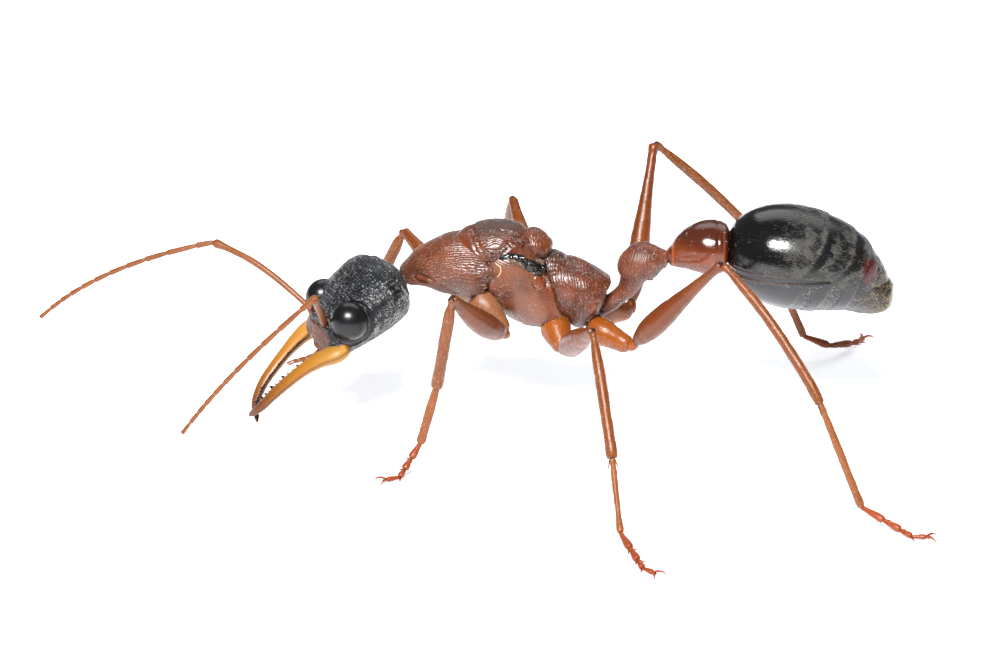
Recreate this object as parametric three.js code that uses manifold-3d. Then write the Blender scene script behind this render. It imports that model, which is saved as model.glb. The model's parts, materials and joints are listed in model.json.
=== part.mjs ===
// A queen bull ant, life size, standing still on six feet. Its parts are closed solids with a narrow
// clear space between them.
// Millimetres, +Z up. The ant faces -Y, its own left side is +X, and the floor is z = 0.
// While it is built, the body's middle plane is x = 0; the last lines move the whole ant so that the
// middle of its outline on the floor is the origin.

import * as THREE from 'three';
import { mergeVertices } from 'three/addons/utils/BufferGeometryUtils.js';
import Module from 'manifold-3d';

const wasm = await Module();
wasm.setup();

// ---------------------------------------------------------------- driving dimensions

const GAP = 0.05;             // clear space between two neighbouring plates
const TIDY = 0.018;           // how far a corner may stray when slivers are merged away
const LIMB_WIDTH = 0.52;      // the thinnest that a leg or a feeler is made
const FOOT_HEIGHT = 0.22;     // middle of a foot above the floor, a little less than its radius
const FOOT_LENGTH = 0.5;      // how much of the last joint lies level on the floor

// The middle of the head, and how it is turned on the neck, in degrees.

const HEAD = { x: 0.7, y: -5.17, z: 5.0, yaw: 24, pitch: 34, roll: -5 };

// Lengths of the leg joints, the same on the left and the right.
const LEG_LENGTHS = {
  front: { femur: 4.55, tibia: 3.8, basitarsus: 2.25, tarsus: 1.85 },
  middle: { femur: 4.65, tibia: 4.6, basitarsus: 2.75, tarsus: 2.35 },
  hind: { femur: 6.2, tibia: 6.05, basitarsus: 4.0, tarsus: 2.6 },
};

// How the joints swell and bend: half the thickest width of a femur, and the rise of the middle of
// a femur and a tibia above a straight line.
const FEMUR_SWELL = { front: 0.46, middle: 0.52, hind: 0.4 };
const FEMUR_BOW = { front: 0, middle: 0, hind: -0.25 };
const TIBIA_BOW = { front: 0, middle: 0.08, hind: 0.3 };
const TROCHANTER = { length: 0.42, half: 0.28 };

// Where each coxa leaves the trunk, and the hip at its far end, for a left leg.
const HIPS = {
  front: { root: [0.75, -0.85, 5.35], hip: [1.55, 0.22, 4.2] },
  middle: { root: [0.8, 1.9, 4.6], hip: [1.75, 2.25, 3.7] },
  hind: { root: [0.7, 3.3, 4.6], hip: [1.6, 4.66, 3.77] },
};

// The stance. Each joint points along [bearing, pitch] in degrees: the bearing turns from straight
// ahead towards the leg's own side, and the pitch is up from level. The tarsus has two bearings, of
// its slope and of the toe that lies on the floor. stride moves the hip along the body.
const STANCE = {
  front_left: { femur: [60, 37], tibia: [-47, -77], basitarsus: [-6, -75], tarsus: [47, 25], stride: 0 },
  front_right: { femur: [55, 15], tibia: [30, -64], basitarsus: [58, -40], tarsus: [68, 60], stride: -1.25 },
  middle_left: { femur: [105, 31], tibia: [104, -51], basitarsus: [98, -43], tarsus: [115, 135], stride: 0 },
  middle_right: { femur: [70, 39], tibia: [84, -47], basitarsus: [119, -69], tarsus: [107, 99], stride: -.6 },
  hind_left: { femur: [136, 46], tibia: [137, -40], basitarsus: [161, -67], tarsus: [146, 175], stride: 0 },
  hind_right: { femur: [104, 56], tibia: [162, -46], basitarsus: [191, -66], tarsus: [160, 125], stride: 0 },
};
const ROOT_STRIDE = 0.4;      // the share of the stride that the coxa's root on the trunk moves by

// Each antenna is an elbowed feeler: a long scape, then eleven short joints that bend evenly.
const FEELER_JOINTS = [0.65, 1.13, 0.85, 0.75, 0.69, 0.62, 0.57, 0.52, 0.42, 0.51, 0.55];
const SCAPE_LENGTH = 4.75;
const SCAPE_BOW = 0.4;
const SOCKET = [0.5, -1.3, 0.36];   // of the left antenna, on the head
const FEELERS = {
  left: { scape: [87, 34], first: [-6, -44], last: [-10, -55] },
  right: { scape: [31, 23], first: [7, -15], last: [5, -43] },
};

// ---------------------------------------------------------------- colours

const finish = (color, roughness) => new THREE.MeshStandardMaterial({ color, roughness, metalness: 0 });
const HEAD_BLACK = finish(0x1a1b1d, 0.45);
const EYE_BLACK = finish(0x0c0c10, 0.1);
const GASTER_BLACK = finish(0x141416, 0.25);
const RUST = finish(0x8a3d1e, 0.5);
const LEG_BROWN = finish(0xa04e22, 0.4);
const COXA_ORANGE = finish(0xc26a22, 0.35);
const JAW_AMBER = finish(0xd89a28, 0.3);

// ---------------------------------------------------------------- solids

const radians = THREE.MathUtils.degToRad;
const vector = (list) => new THREE.Vector3(...list);

// The unit vector along a bearing and a pitch. side is 1 on the ant's left and -1 on its right.
function heading([bearing, pitch], side = 1) {
  const turn = radians(bearing);
  const rise = radians(pitch);
  const level = new THREE.Vector3(side * Math.sin(turn), -Math.cos(turn), 0);
  return level.multiplyScalar(Math.cos(rise)).setZ(Math.sin(rise));
}

// A three.js geometry as a manifold solid, its faces turned outwards.
function solidOf(geometry) {
  const bare = geometry.clone();
  bare.deleteAttribute('normal');
  bare.deleteAttribute('uv');
  const merged = mergeVertices(bare, 1e-4);
  const triVerts = new Uint32Array(merged.index.array);
  const make = () => new wasm.Manifold(new wasm.Mesh({
    numProp: 3, vertProperties: merged.attributes.position.array, triVerts,
  }));
  const solid = make();
  if (solid.volume() > 0) return solid;
  for (let i = 0; i < triVerts.length; i += 3) {
    [triVerts[i + 1], triVerts[i + 2]] = [triVerts[i + 2], triVerts[i + 1]];
  }
  return make();
}

// A manifold solid back as a three.js geometry.
function geometryOf(solid) {
  const mesh = solid.getMesh();
  const geometry = new THREE.BufferGeometry();
  geometry.setAttribute('position', new THREE.BufferAttribute(mesh.vertProperties, 3));
  geometry.setIndex(new THREE.BufferAttribute(mesh.triVerts, 1));
  geometry.computeVertexNormals();
  return geometry;
}

const signedPower = (value, power) => Math.sign(value) * Math.abs(value) ** power;

// A closed plate of shell that follows a line of stations. Each station is { at: Vector3, wide, high }
// with the half sizes across and up; between them every value runs along a smooth curve. The ends are
// rounded off over roundStart and roundEnd, or flat where those are 0. square is 2 for an oval
// section and more for a boxier one. grow makes the same plate larger all round, to cut a neighbour.
function shell(stations, options = {}) {
  const { sides = 20, rings = 12, across = new THREE.Vector3(1, 0, 0), square = 2, grow = 0 } = options;
  const places = [0];
  for (let i = 1; i < stations.length; i += 1) {
    places.push(places[i - 1] + stations[i].at.distanceTo(stations[i - 1].at));
  }
  const length = places.at(-1);
  const values = stations.flatMap(({ at, wide, high }) => [at.x, at.y, at.z, wide, high]);
  const curve = new THREE.CubicInterpolant(places, values, 5);
  const { from = 0, to = length, roundStart = 0.4, roundEnd = 0.4 } = options;
  const start = from - grow;
  const span = to + grow - start;

  // Values at a place along the line, which runs straight on past both of its ends.
  const nearby = length / 500;
  const read = (place) => {
    const inside = THREE.MathUtils.clamp(place, 0, length);
    const here = Array.from(curve.evaluate(inside));
    const onward = inside < length / 2 ? 1 : -1;
    const beside = Array.from(curve.evaluate(inside + onward * nearby));
    const along = vector(beside).sub(vector(here)).multiplyScalar(onward).normalize();
    const centre = vector(here).addScaledVector(along, place - inside);
    return { centre, along, wide: here[3] + grow, high: here[4] + grow };
  };

  // The share of the full section that is left at a place, falling to 0 round each rounded end.
  const roundOff = (distance, radius) => {
    if (radius === 0) return 1;
    const left = Math.min(1, distance / (radius + grow));
    return Math.sqrt(1 - (1 - left) ** 2);
  };

  const profile = [new THREE.Vector2(0, 0)];
  for (let i = 0; i <= rings; i += 1) {
    const even = i / rings;
    const bunched = (1 - Math.cos(Math.PI * even)) / 2;
    const share = roundStart || roundEnd ? THREE.MathUtils.lerp(even, bunched, 0.75) : even;
    const pole = (i === 0 && roundStart) || (i === rings && roundEnd);
    if (!pole) profile.push(new THREE.Vector2(1, share));
  }
  profile.push(new THREE.Vector2(0, 1));

  const geometry = new THREE.LatheGeometry(profile, sides);
  const position = geometry.attributes.position;
  for (let i = 0; i < position.count; i += 1) {
    const place = start + position.getY(i) * span;
    const { centre, along, wide, high } = read(place);
    const side = across.clone().addScaledVector(along, -across.dot(along)).normalize();
    const up = side.clone().cross(along);
    const scale = roundOff(place - start, roundStart) * roundOff(start + span - place, roundEnd);
    centre.addScaledVector(side, scale * wide * signedPower(position.getX(i), 2 / square));
    centre.addScaledVector(up, scale * high * signedPower(position.getZ(i), 2 / square));
    position.setXYZ(i, centre.x, centre.y, centre.z);
  }
  return solidOf(geometry);
}

// Stations in the ant's middle plane, from rows of [y, z, half width, half height].
const middlePlane = (rows) => rows.map(([y, z, wide, high]) => ({ at: vector([0, y, z]), wide, high }));

// The level direction across a limb.
function acrossOf(start, end) {
  const along = end.clone().sub(start);
  return new THREE.Vector3(along.y, -along.x, 0).normalize();
}

// Stations along a limb, from rows of [share of the length, half width, half height]. The limb is
// straight, or its middle is arched upwards by bow.
function limb(start, end, rows, bow = 0) {
  const up = acrossOf(start, end).cross(end.clone().sub(start)).normalize();
  return rows.map(([share, wide, high]) => {
    const at = start.clone().lerp(end, share).addScaledVector(up, bow * 4 * share * (1 - share));
    return { at, wide, high };
  });
}

// ---------------------------------------------------------------- the ant's parts

const ant = new THREE.Group();
const made = {};   // each part's own maker, kept so that a neighbour can be cut by a larger copy

// A group of parts inside a larger one.
function region(name, parent = ant) {
  const group = new THREE.Group();
  group.name = name;
  parent.add(group);
  return group;
}

// Adds a part. make(grow) returns its solid, cutters are the parts that it makes room for.
function add(group, name, material, make, cutters = [], extra = (solid) => solid) {
  made[name] = make;
  let solid = make(0);
  for (const cutter of cutters) solid = solid.subtract(made[cutter](GAP));
  const mesh = new THREE.Mesh(geometryOf(extra(solid).simplify(TIDY)), material);
  mesh.name = name;
  group.add(mesh);
}

const mirror = { left: 1, right: -1 };

// -- head

const headRegion = region('head_region');
const headFrame = new THREE.Matrix4().makeRotationFromEuler(
  new THREE.Euler(radians(HEAD.pitch), radians(HEAD.roll), radians(HEAD.yaw), 'ZXY'),
).setPosition(HEAD.x, HEAD.y, HEAD.z);

// Moves a solid from the head's own frame, in which it faces -Y, to its place on the neck.
const onHead = (solid) => solid.transform(headFrame.elements);
const headPoint = (x, y, z) => new THREE.Vector3(x, y, z).applyMatrix4(headFrame);

// The left eye: its middle on the head, its three half sizes, and how it is tilted, in degrees.
const EYE = { at: [1.5, -0.66, 0.2], half: [0.62, 0.72, 0.67], roll: -18, turn: -12 };

function eye(side) {
  return (grow) => {
    const ball = new THREE.SphereGeometry(1, 14, 8);
    ball.scale(...EYE.half.map((half) => half + grow));
    ball.rotateY(radians(EYE.roll * side));
    ball.rotateZ(radians(EYE.turn * side));
    ball.translate(EYE.at[0] * side, EYE.at[1], EYE.at[2]);
    return onHead(solidOf(ball));
  };
}

function headCapsule(grow) {
  const rows = [
    [-1.9, -0.42, 1.3, 0.34],
    [-1.6, -0.34, 1.55, 0.56],
    [-1.1, -0.22, 1.68, 0.84],
    [-0.5, -0.14, 1.78, 1.03],
    [0.2, -0.1, 1.9, 1.15],
    [0.9, -0.1, 1.93, 1.19],
    [1.5, -0.1, 1.75, 1.08],
    [1.98, -0.1, 1.35, 0.85],
  ];
  const options = { sides: 22, rings: 11, square: 2.3, roundStart: 0.25, roundEnd: 0.6, grow };
  return onHead(shell(middlePlane(rows), options));
}

// -- mandibles: long toothed jaws that cross at their tips

const TEETH = { count: 13, first: 0.3, last: 0.9, tall: [0.26, 0.14], half: 0.1, sunk: 0.2 };

// Rows of [x, y, z, half width, half height] on the head, from the hinge to the tip. The right jaw's
// tip passes below the left one's.
function mandible(side) {
  const rows = [
    [1.45, -1.45, -0.3, 0.42, 0.3],
    [1.38, -1.8, -0.26, 0.5, 0.3],
    [1.24, -2.3, -0.22, 0.41, 0.27],
    [1.05, -2.9, -0.2, 0.33, 0.24],
    [0.86, -3.6, -0.26, 0.29, 0.22],
    [0.69, -4.3, -0.36, 0.26, 0.2],
    [0.43, -4.95, -0.55, 0.2, 0.17],
    [-0.12, -5.35, side > 0 ? -0.72 : -1.12, 0.13, 0.12],
  ];
  const stations = rows.map(([x, y, z, wide, high]) => ({ at: vector([x * side, y, z]), wide, high }));

  // One tooth: a cone with its foot sunk in the inner edge of the jaw, pointing across the mouth.
  const tooth = (i, grow) => {
    const share = THREE.MathUtils.lerp(TEETH.first, TEETH.last, i / (TEETH.count - 1));
    const place = share * (stations.length - 1);
    const near = stations[Math.floor(place)];
    const next = stations[Math.floor(place) + 1];
    const root = near.at.clone().lerp(next.at, place % 1);
    const edge = THREE.MathUtils.lerp(near.wide, next.wide, place % 1);
    const tall = TEETH.tall[i % 2];
    const cone = new THREE.ConeGeometry(TEETH.half + grow, tall + TEETH.sunk, 4);
    cone.rotateZ(radians(90 * side));
    cone.translate(root.x - side * (edge + (tall - TEETH.sunk) / 2), root.y, root.z);
    return solidOf(cone);
  };

  return (grow) => {
    let jaw = shell(stations, { sides: 9, rings: 10, roundStart: 0.3, roundEnd: 0.35, grow });
    for (let i = 0; i < TEETH.count; i += 1) jaw = jaw.add(tooth(i, grow));
    return onHead(jaw);
  };
}

// The lip that closes the mouth between the two jaws.
function labrum(grow) {
  const lobe = new THREE.SphereGeometry(1, 10, 6);
  lobe.scale(0.62 + grow, 0.38 + grow, 0.27 + grow);
  lobe.translate(0, -1.9, -0.34);
  return onHead(solidOf(lobe));
}

for (const side of ['left', 'right']) add(headRegion, `eye_${side}`, EYE_BLACK, eye(mirror[side]));
add(headRegion, 'head', HEAD_BLACK, headCapsule, ['eye_left', 'eye_right']);
add(headRegion, 'mandible_left', JAW_AMBER, mandible(1), ['head']);
add(headRegion, 'mandible_right', JAW_AMBER, mandible(-1), ['head', 'mandible_left']);
add(headRegion, 'labrum', RUST, labrum, ['head', 'mandible_left', 'mandible_right']);

// -- antennae

// A limb that keeps one width has the same section at its start, middle and end.
const evenRows = (half) => [0, 0.5, 1].map((share) => [share, half, half]);

for (const side of ['left', 'right']) {
  const antenna = region(`antenna_${side}`, headRegion);
  const { scape, first, last } = FEELERS[side];
  const half = LIMB_WIDTH / 2;
  const flat = { sides: 8, roundStart: 0, roundEnd: 0 };
  const base = headPoint(SOCKET[0] * mirror[side], SOCKET[1], SOCKET[2]);
  const elbow = base.clone().addScaledVector(heading(scape, mirror[side]), SCAPE_LENGTH);
  const scapeLine = limb(base, elbow, evenRows(half), SCAPE_BOW);
  const across = acrossOf(base, elbow);
  const makeScape = (grow) => shell(scapeLine, { ...flat, rings: 4, across, grow });
  add(antenna, `antenna_${side}_scape`, LEG_BROWN, makeScape, ['head']);

  // Each short joint starts at the end of the one before it, a little further round the bend.
  const line = [{ at: elbow, wide: half, high: half }];
  FEELER_JOINTS.forEach((joint, i) => {
    const share = i / (FEELER_JOINTS.length - 1);
    const way = [0, 1].map((k) => THREE.MathUtils.lerp(first[k], last[k], share));
    const at = line.at(-1).at.clone().addScaledVector(heading(way, mirror[side]), joint);
    line.push({ at, wide: half, high: half });
  });
  const makeFuniculus = (grow) => shell(line, { ...flat, rings: 9, roundEnd: 0.3, grow });
  add(antenna, `antenna_${side}_funiculus`, LEG_BROWN, makeFuniculus, [`antenna_${side}_scape`]);
}

// -- trunk: domed plates one behind another, in rows of [y, z, half width, half height]

const plate = (rows, options) => (grow) => shell(middlePlane(rows), { ...options, grow });

const trunk = region('trunk');
add(trunk, 'mesoscutum', RUST, plate([
  [-1.62, 6.92, 0.4, 0.3],
  [-1.15, 7, 0.85, 0.58],
  [-0.5, 7.05, 1.15, 0.76],
  [0.2, 7.05, 1.15, 0.76],
  [0.72, 6.95, 0.95, 0.66],
  [0.98, 6.9, 0.7, 0.5],
], { sides: 18, rings: 7 }));
add(trunk, 'scutellum', RUST, plate([
  [0.85, 6.7, 0.5, 0.5],
  [1.3, 6.72, 0.62, 0.62],
  [1.78, 6.5, 0.5, 0.42],
], { sides: 12, rings: 4 }), ['mesoscutum']);
add(trunk, 'pronotum', RUST, plate([
  [-3.5, 5.7, 0.3, 0.28],
  [-3.1, 5.93, 0.55, 0.52],
  [-2.6, 6.13, 0.9, 0.75],
  [-2, 6.24, 1.12, 0.93],
  [-1.4, 6.33, 1.25, 1.08],
  [-0.7, 6.28, 1.36, 1.14],
  [-0.05, 6.15, 1.3, 1.05],
], { sides: 18, rings: 8, roundStart: 0.2 }), ['head', 'mesoscutum']);
add(trunk, 'mesothorax', RUST, plate([
  [-0.8, 6.1, 0.9, 0.8],
  [-0.3, 6.2, 1.3, 1.25],
  [0.3, 6.12, 1.43, 1.5],
  [1, 5.65, 1.4, 1.3],
  [1.6, 5.4, 1.28, 1.15],
  [2.05, 5.35, 1.1, 1],
], { sides: 16, rings: 7, square: 2.3 }), ['pronotum', 'mesoscutum', 'scutellum']);
add(trunk, 'metanotum', RUST, plate([
  [1.6, 6, 0.75, 0.6],
  [2, 5.95, 0.8, 0.68],
  [2.35, 5.8, 0.8, 0.6],
], { sides: 12, rings: 4 }), ['mesothorax', 'scutellum']);
add(trunk, 'propodeum', RUST, plate([
  [2, 5.45, 0.95, 0.95],
  [2.4, 5.33, 1.1, 1.02],
  [2.85, 5.14, 1.14, 0.98],
  [3.3, 4.9, 1.02, 0.86],
  [3.62, 4.72, 0.72, 0.66],
], { sides: 16, rings: 7, square: 2.3 }), ['mesothorax', 'metanotum']);

// -- waist: two knots between the trunk and the gaster

const waist = region('waist');
add(waist, 'petiole', RUST, plate([
  [3.5, 4.55, 0.3, 0.3],
  [3.9, 4.85, 0.33, 0.33],
  [4.2, 5.15, 0.38, 0.34],
  [4.45, 5.6, 0.48, 0.42],
  [4.72, 6.02, 0.62, 0.58],
  [5.1, 6.33, 0.7, 0.7],
  [5.5, 6.44, 0.62, 0.6],
  [5.98, 6.48, 0.31, 0.28],
], { sides: 14, rings: 10, roundStart: 0.15, roundEnd: 0.12 }), ['propodeum']);
add(waist, 'postpetiole', RUST, plate([
  [5.95, 6.52, 0.28, 0.26],
  [6.5, 6.72, 0.62, 0.56],
  [7.1, 6.92, 0.95, 0.86],
  [7.7, 6.92, 1.05, 0.9],
  [8.1, 6.85, 0.85, 0.75],
], { sides: 14, rings: 8, roundStart: 0.1, roundEnd: 0.35 }), ['petiole']);

// -- gaster: one egg-shaped outline, parted into its overlapping rings

const GASTER_ROWS = [
  [8.0, 6.75, 0.6, 0.6],
  [8.5, 6.75, 1.25, 1.2],
  [9.2, 6.72, 1.68, 1.62],
  [10.1, 6.62, 1.88, 1.8],
  [11.2, 6.38, 1.85, 1.74],
  [12.2, 6.02, 1.58, 1.47],
  [12.9, 5.61, 1.27, 1.13],
  [13.4, 5.22, 0.93, 0.83],
  [13.74, 4.86, 0.6, 0.5],
];
const GASTER_EDGES = [0, 3.2, 4.15, 4.9, 5.6, 6.6];   // where each ring ends, along the gaster

const gaster = region('gaster');
for (let i = 0; i + 1 < GASTER_EDGES.length; i += 1) {
  const first = i === 0;
  const last = i + 2 === GASTER_EDGES.length;
  const ring = {
    sides: 20,
    rings: first ? 8 : 3,
    from: GASTER_EDGES[i] + (first ? 0 : GAP / 2),
    to: last ? undefined : GASTER_EDGES[i + 1] - GAP / 2,
    roundStart: first ? 0.4 : 0,
    roundEnd: last ? 0.3 : 0,
  };
  add(gaster, `gaster_${i + 1}`, GASTER_BLACK, plate(GASTER_ROWS, ring), first ? ['postpetiole'] : []);
}

// -- legs

// The line of one leg, from the trunk to the toe. The last joint slopes down to the sole, which lies
// level at the height of the foot.
function legLine(pair, side) {
  const stance = STANCE[`${pair}_${side}`];
  const lengths = LEG_LENGTHS[pair];
  const place = ([x, y, z], stride) => new THREE.Vector3(x * mirror[side], y + stride, z);
  const step = (from, way, length) => from.clone().addScaledVector(heading(way, mirror[side]), length);
  const root = place(HIPS[pair].root, stance.stride * ROOT_STRIDE);
  const hip = place(HIPS[pair].hip, stance.stride);
  const knee = step(hip, stance.femur, lengths.femur);
  const ankle = step(knee, stance.tibia, lengths.tibia);
  const ball = step(ankle, stance.basitarsus, lengths.basitarsus);
  const reach = Math.sqrt((lengths.tarsus - FOOT_LENGTH) ** 2 - (ball.z - FOOT_HEIGHT) ** 2);
  const sole = step(ball, [stance.tarsus[0], 0], reach).setZ(FOOT_HEIGHT);
  const toe = step(sole, [stance.tarsus[1], 0], FOOT_LENGTH);
  return { root, hip, knee, ankle, ball, sole, toe };
}

const FLOOR = solidOf(new THREE.BoxGeometry(80, 80, 2).translate(0, 0, -1));
const COXA_NEIGHBOURS = {
  front: ['pronotum', 'mesothorax'],
  middle: ['mesothorax'],
  hind: ['propodeum', 'mesothorax'],
};

function addLeg(pair, side) {
  const leg = `leg_${pair}_${side}`;
  const group = region(leg);
  const { root, hip, knee, ankle, ball, sole, toe } = legLine(pair, side);
  const half = LIMB_WIDTH / 2;
  const swell = FEMUR_SWELL[pair];

  // Adds one joint of the leg, between two points, with a smooth line of its own or a bow.
  const joint = (name, material, start, end, rows, options, cutters, extra) => {
    const line = options.line ?? limb(start, end, rows, options.bow);
    const across = acrossOf(start, end);
    const common = { sides: 8, rings: 1, across, roundStart: 0, roundEnd: 0 };
    const make = (grow) => shell(line, { ...common, ...options, grow });
    add(group, `${leg}_${name}`, material, make, cutters, extra);
  };

  const hipEnd = hip.clone().lerp(knee, TROCHANTER.length / hip.distanceTo(knee));
  joint('trochanter', COXA_ORANGE, hip, hipEnd, evenRows(TROCHANTER.half),
    { rings: 4, roundStart: 0.2, roundEnd: 0.2 });
  joint('coxa', COXA_ORANGE, root, hip, [[0, 0.45, 0.5], [0.5, 0.5, 0.55], [1, 0.3, 0.3]],
    { sides: 9, rings: 4, roundStart: 0.3, roundEnd: 0.25 },
    [...COXA_NEIGHBOURS[pair], `${leg}_trochanter`]);
  joint('femur', LEG_BROWN, hip, knee,
    [[0.09, half, half], [0.35, swell * 0.9, swell], [0.6, swell * 0.85, swell * 0.95], [1, half, half]],
    { sides: 9, rings: 5, bow: FEMUR_BOW[pair] }, [`${leg}_trochanter`]);
  joint('tibia', LEG_BROWN, knee, ankle, evenRows(half),
    { rings: 4, bow: TIBIA_BOW[pair] }, [`${leg}_femur`]);
  joint('basitarsus', LEG_BROWN, ankle, ball, evenRows(half), {}, [`${leg}_tibia`]);
  const line = [ball, sole, toe].map((at) => ({ at, wide: half, high: half }));
  joint('tarsus', LEG_BROWN, ball, toe, evenRows(half), { line, rings: 5, roundEnd: 0.25 },
    [`${leg}_basitarsus`], (solid) => solid.subtract(FLOOR));
}

for (const pair of ['front', 'middle', 'hind']) {
  for (const side of ['left', 'right']) addLeg(pair, side);
}

// The origin: the middle of the ant's outline, on the floor.
const outline = new THREE.Box3().setFromObject(ant, true);
const middle = outline.getCenter(new THREE.Vector3());
ant.position.set(-middle.x, -middle.y, -outline.min.z);
ant.updateMatrixWorld(true);

export default ant;
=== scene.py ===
# %% [markdown]
# # A queen bull ant, life size
# The solids of this model say where every part is and how big it is. This notebook dresses them: each
# solid is replaced by a finer piece in the same place, with thin legs and feelers, teeth, claws and
# hair, and each piece gets a material of its own. Blender works in metres, but an ant is easier to
# think about in millimetres, so every piece is modelled in millimetres and made small at the end.

# %% Load the frame
import json
import math
import random

import bmesh
import bpy
from mathutils import Matrix, Vector, noise

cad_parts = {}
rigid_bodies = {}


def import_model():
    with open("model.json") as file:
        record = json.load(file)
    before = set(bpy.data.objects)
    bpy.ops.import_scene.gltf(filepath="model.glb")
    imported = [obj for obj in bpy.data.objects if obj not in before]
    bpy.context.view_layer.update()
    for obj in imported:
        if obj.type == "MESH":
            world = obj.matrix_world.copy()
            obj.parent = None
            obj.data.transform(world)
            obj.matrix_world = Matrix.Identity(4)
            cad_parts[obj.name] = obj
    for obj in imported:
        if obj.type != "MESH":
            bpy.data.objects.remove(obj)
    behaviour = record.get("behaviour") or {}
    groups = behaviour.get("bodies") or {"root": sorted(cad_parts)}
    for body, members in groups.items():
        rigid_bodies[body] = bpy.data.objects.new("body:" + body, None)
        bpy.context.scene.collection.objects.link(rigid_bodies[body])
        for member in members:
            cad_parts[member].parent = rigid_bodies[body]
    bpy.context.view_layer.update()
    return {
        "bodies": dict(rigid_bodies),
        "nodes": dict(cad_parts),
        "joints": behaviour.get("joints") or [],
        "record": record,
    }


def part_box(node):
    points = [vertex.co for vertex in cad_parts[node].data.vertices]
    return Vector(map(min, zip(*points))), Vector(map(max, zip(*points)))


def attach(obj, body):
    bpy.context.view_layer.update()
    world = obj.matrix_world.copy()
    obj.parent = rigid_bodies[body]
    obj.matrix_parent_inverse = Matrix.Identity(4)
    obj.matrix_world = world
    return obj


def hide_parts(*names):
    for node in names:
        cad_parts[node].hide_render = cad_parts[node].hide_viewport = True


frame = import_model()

# Some wrinkles are drawn at random. With a seed of their own they are the same each time.
WRINKLE_SEED = 1
noise.seed_set(WRINKLE_SEED)
print("solids:", len(frame["nodes"]))

# %% [markdown]
# ## Where the ant stands
# The ant is described about its own middle plane, x = 0, with the floor at z = 0. It faces -Y and its
# left side is +X. The frame's origin is the middle of its outline instead, so one shift joins the two.
# An eye is the best mark for it: it is a whole ball, and the middle of its box is its middle.

# %% The head's place and the shift
MM = 0.001
EYE_AT = Vector((1.5, -0.66, 0.2))
EYE_HALF = Vector((0.62, 0.72, 0.67))


def turn(degrees, axis):
    return Matrix.Rotation(math.radians(degrees), 4, axis)


HEAD = Matrix.Translation((0.7, -5.17, 5.0)) @ turn(24, "Z") @ turn(34, "X") @ turn(-5, "Y")
eye_low, eye_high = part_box("eye_left")
SHIFT = (eye_low + eye_high) / 2 / MM - HEAD @ EYE_AT
TO_FRAME = Matrix.Translation(SHIFT * MM) @ Matrix.Scale(MM, 4)
print("shift in mm:", [round(value, 3) for value in SHIFT])

# %% [markdown]
# ## The camera
# A long lens from far away, by the standards of an ant, keeps its far legs nearly as large as its near
# ones. It looks at the ant's left side from a little above.

# %% The camera
CAMERA_AIM = Vector((0, 0, 3.55))
CAMERA_DISTANCE = 220
CAMERA_TURN, CAMERA_RISE = 90.7, 23.6
CAMERA_LENS = 221.8


def outward(turned, rise):
    """The direction towards a viewer who stands round the ant by some degrees, and above it."""
    a, e = math.radians(turned), math.radians(rise)
    return Vector((math.sin(a) * math.cos(e), -math.cos(a) * math.cos(e), math.sin(e)))


back = outward(CAMERA_TURN, CAMERA_RISE)
camera = bpy.data.objects.new("camera", bpy.data.cameras.new("camera"))
camera.data.lens = CAMERA_LENS
camera.data.clip_start, camera.data.clip_end = 0.01, 10
camera.location = TO_FRAME @ (CAMERA_AIM + back * CAMERA_DISTANCE)
camera.rotation_mode = "QUATERNION"
camera.rotation_quaternion = (-back).to_track_quat("-Z", "Y")
bpy.context.scene.collection.objects.link(camera)
bpy.context.scene.camera = camera
print("camera at:", [round(value, 4) for value in camera.location])

# %% [markdown]
# ## Shader maths as plain expressions
# A material is a net of nodes. Writing each node and link by hand hides the idea, so a Wire wraps an
# output socket and lets ordinary arithmetic add the Math nodes, and a Paint owns one material's nodes.

# %% Wires
class Wire:
    """A value on its way through a material."""

    def __init__(self, paint, socket):
        self.paint = paint
        self.socket = socket

    def maths(self, operation, *values):
        return self.paint.node("ShaderNodeMath", {"operation": operation}, dict(enumerate(values)))

    def __add__(self, other):
        return self.maths("ADD", self, other)

    def __sub__(self, other):
        return self.maths("SUBTRACT", self, other)

    def __rsub__(self, other):
        return self.maths("SUBTRACT", other, self)

    def __mul__(self, other):
        return self.maths("MULTIPLY", self, other)

    def __truediv__(self, other):
        return self.maths("DIVIDE", self, other)

    def __pow__(self, other):
        return self.maths("POWER", self, other)

    __radd__ = __add__
    __rmul__ = __mul__

    def size(self):
        return self.maths("ABSOLUTE", self)

    def at_least(self, limit):
        return self.maths("MAXIMUM", self, limit)

    def rise(self, low, high):
        """0 up to low, 1 from high on, and a smooth climb between them."""
        return self.paint.node(
            "ShaderNodeMapRange", {"interpolation_type": "SMOOTHSTEP"},
            {"Value": self, "From Min": low, "From Max": high},
        )

    def wave(self):
        """A ridge from 0 to 1 and back for each whole number."""
        return self.maths("SINE", self * math.pi).size()

    def near(self, middle, width):
        """1 at the middle value, falling smoothly to 0 a width away from it."""
        return 1 - (self - middle).size().rise(0, width)


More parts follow.
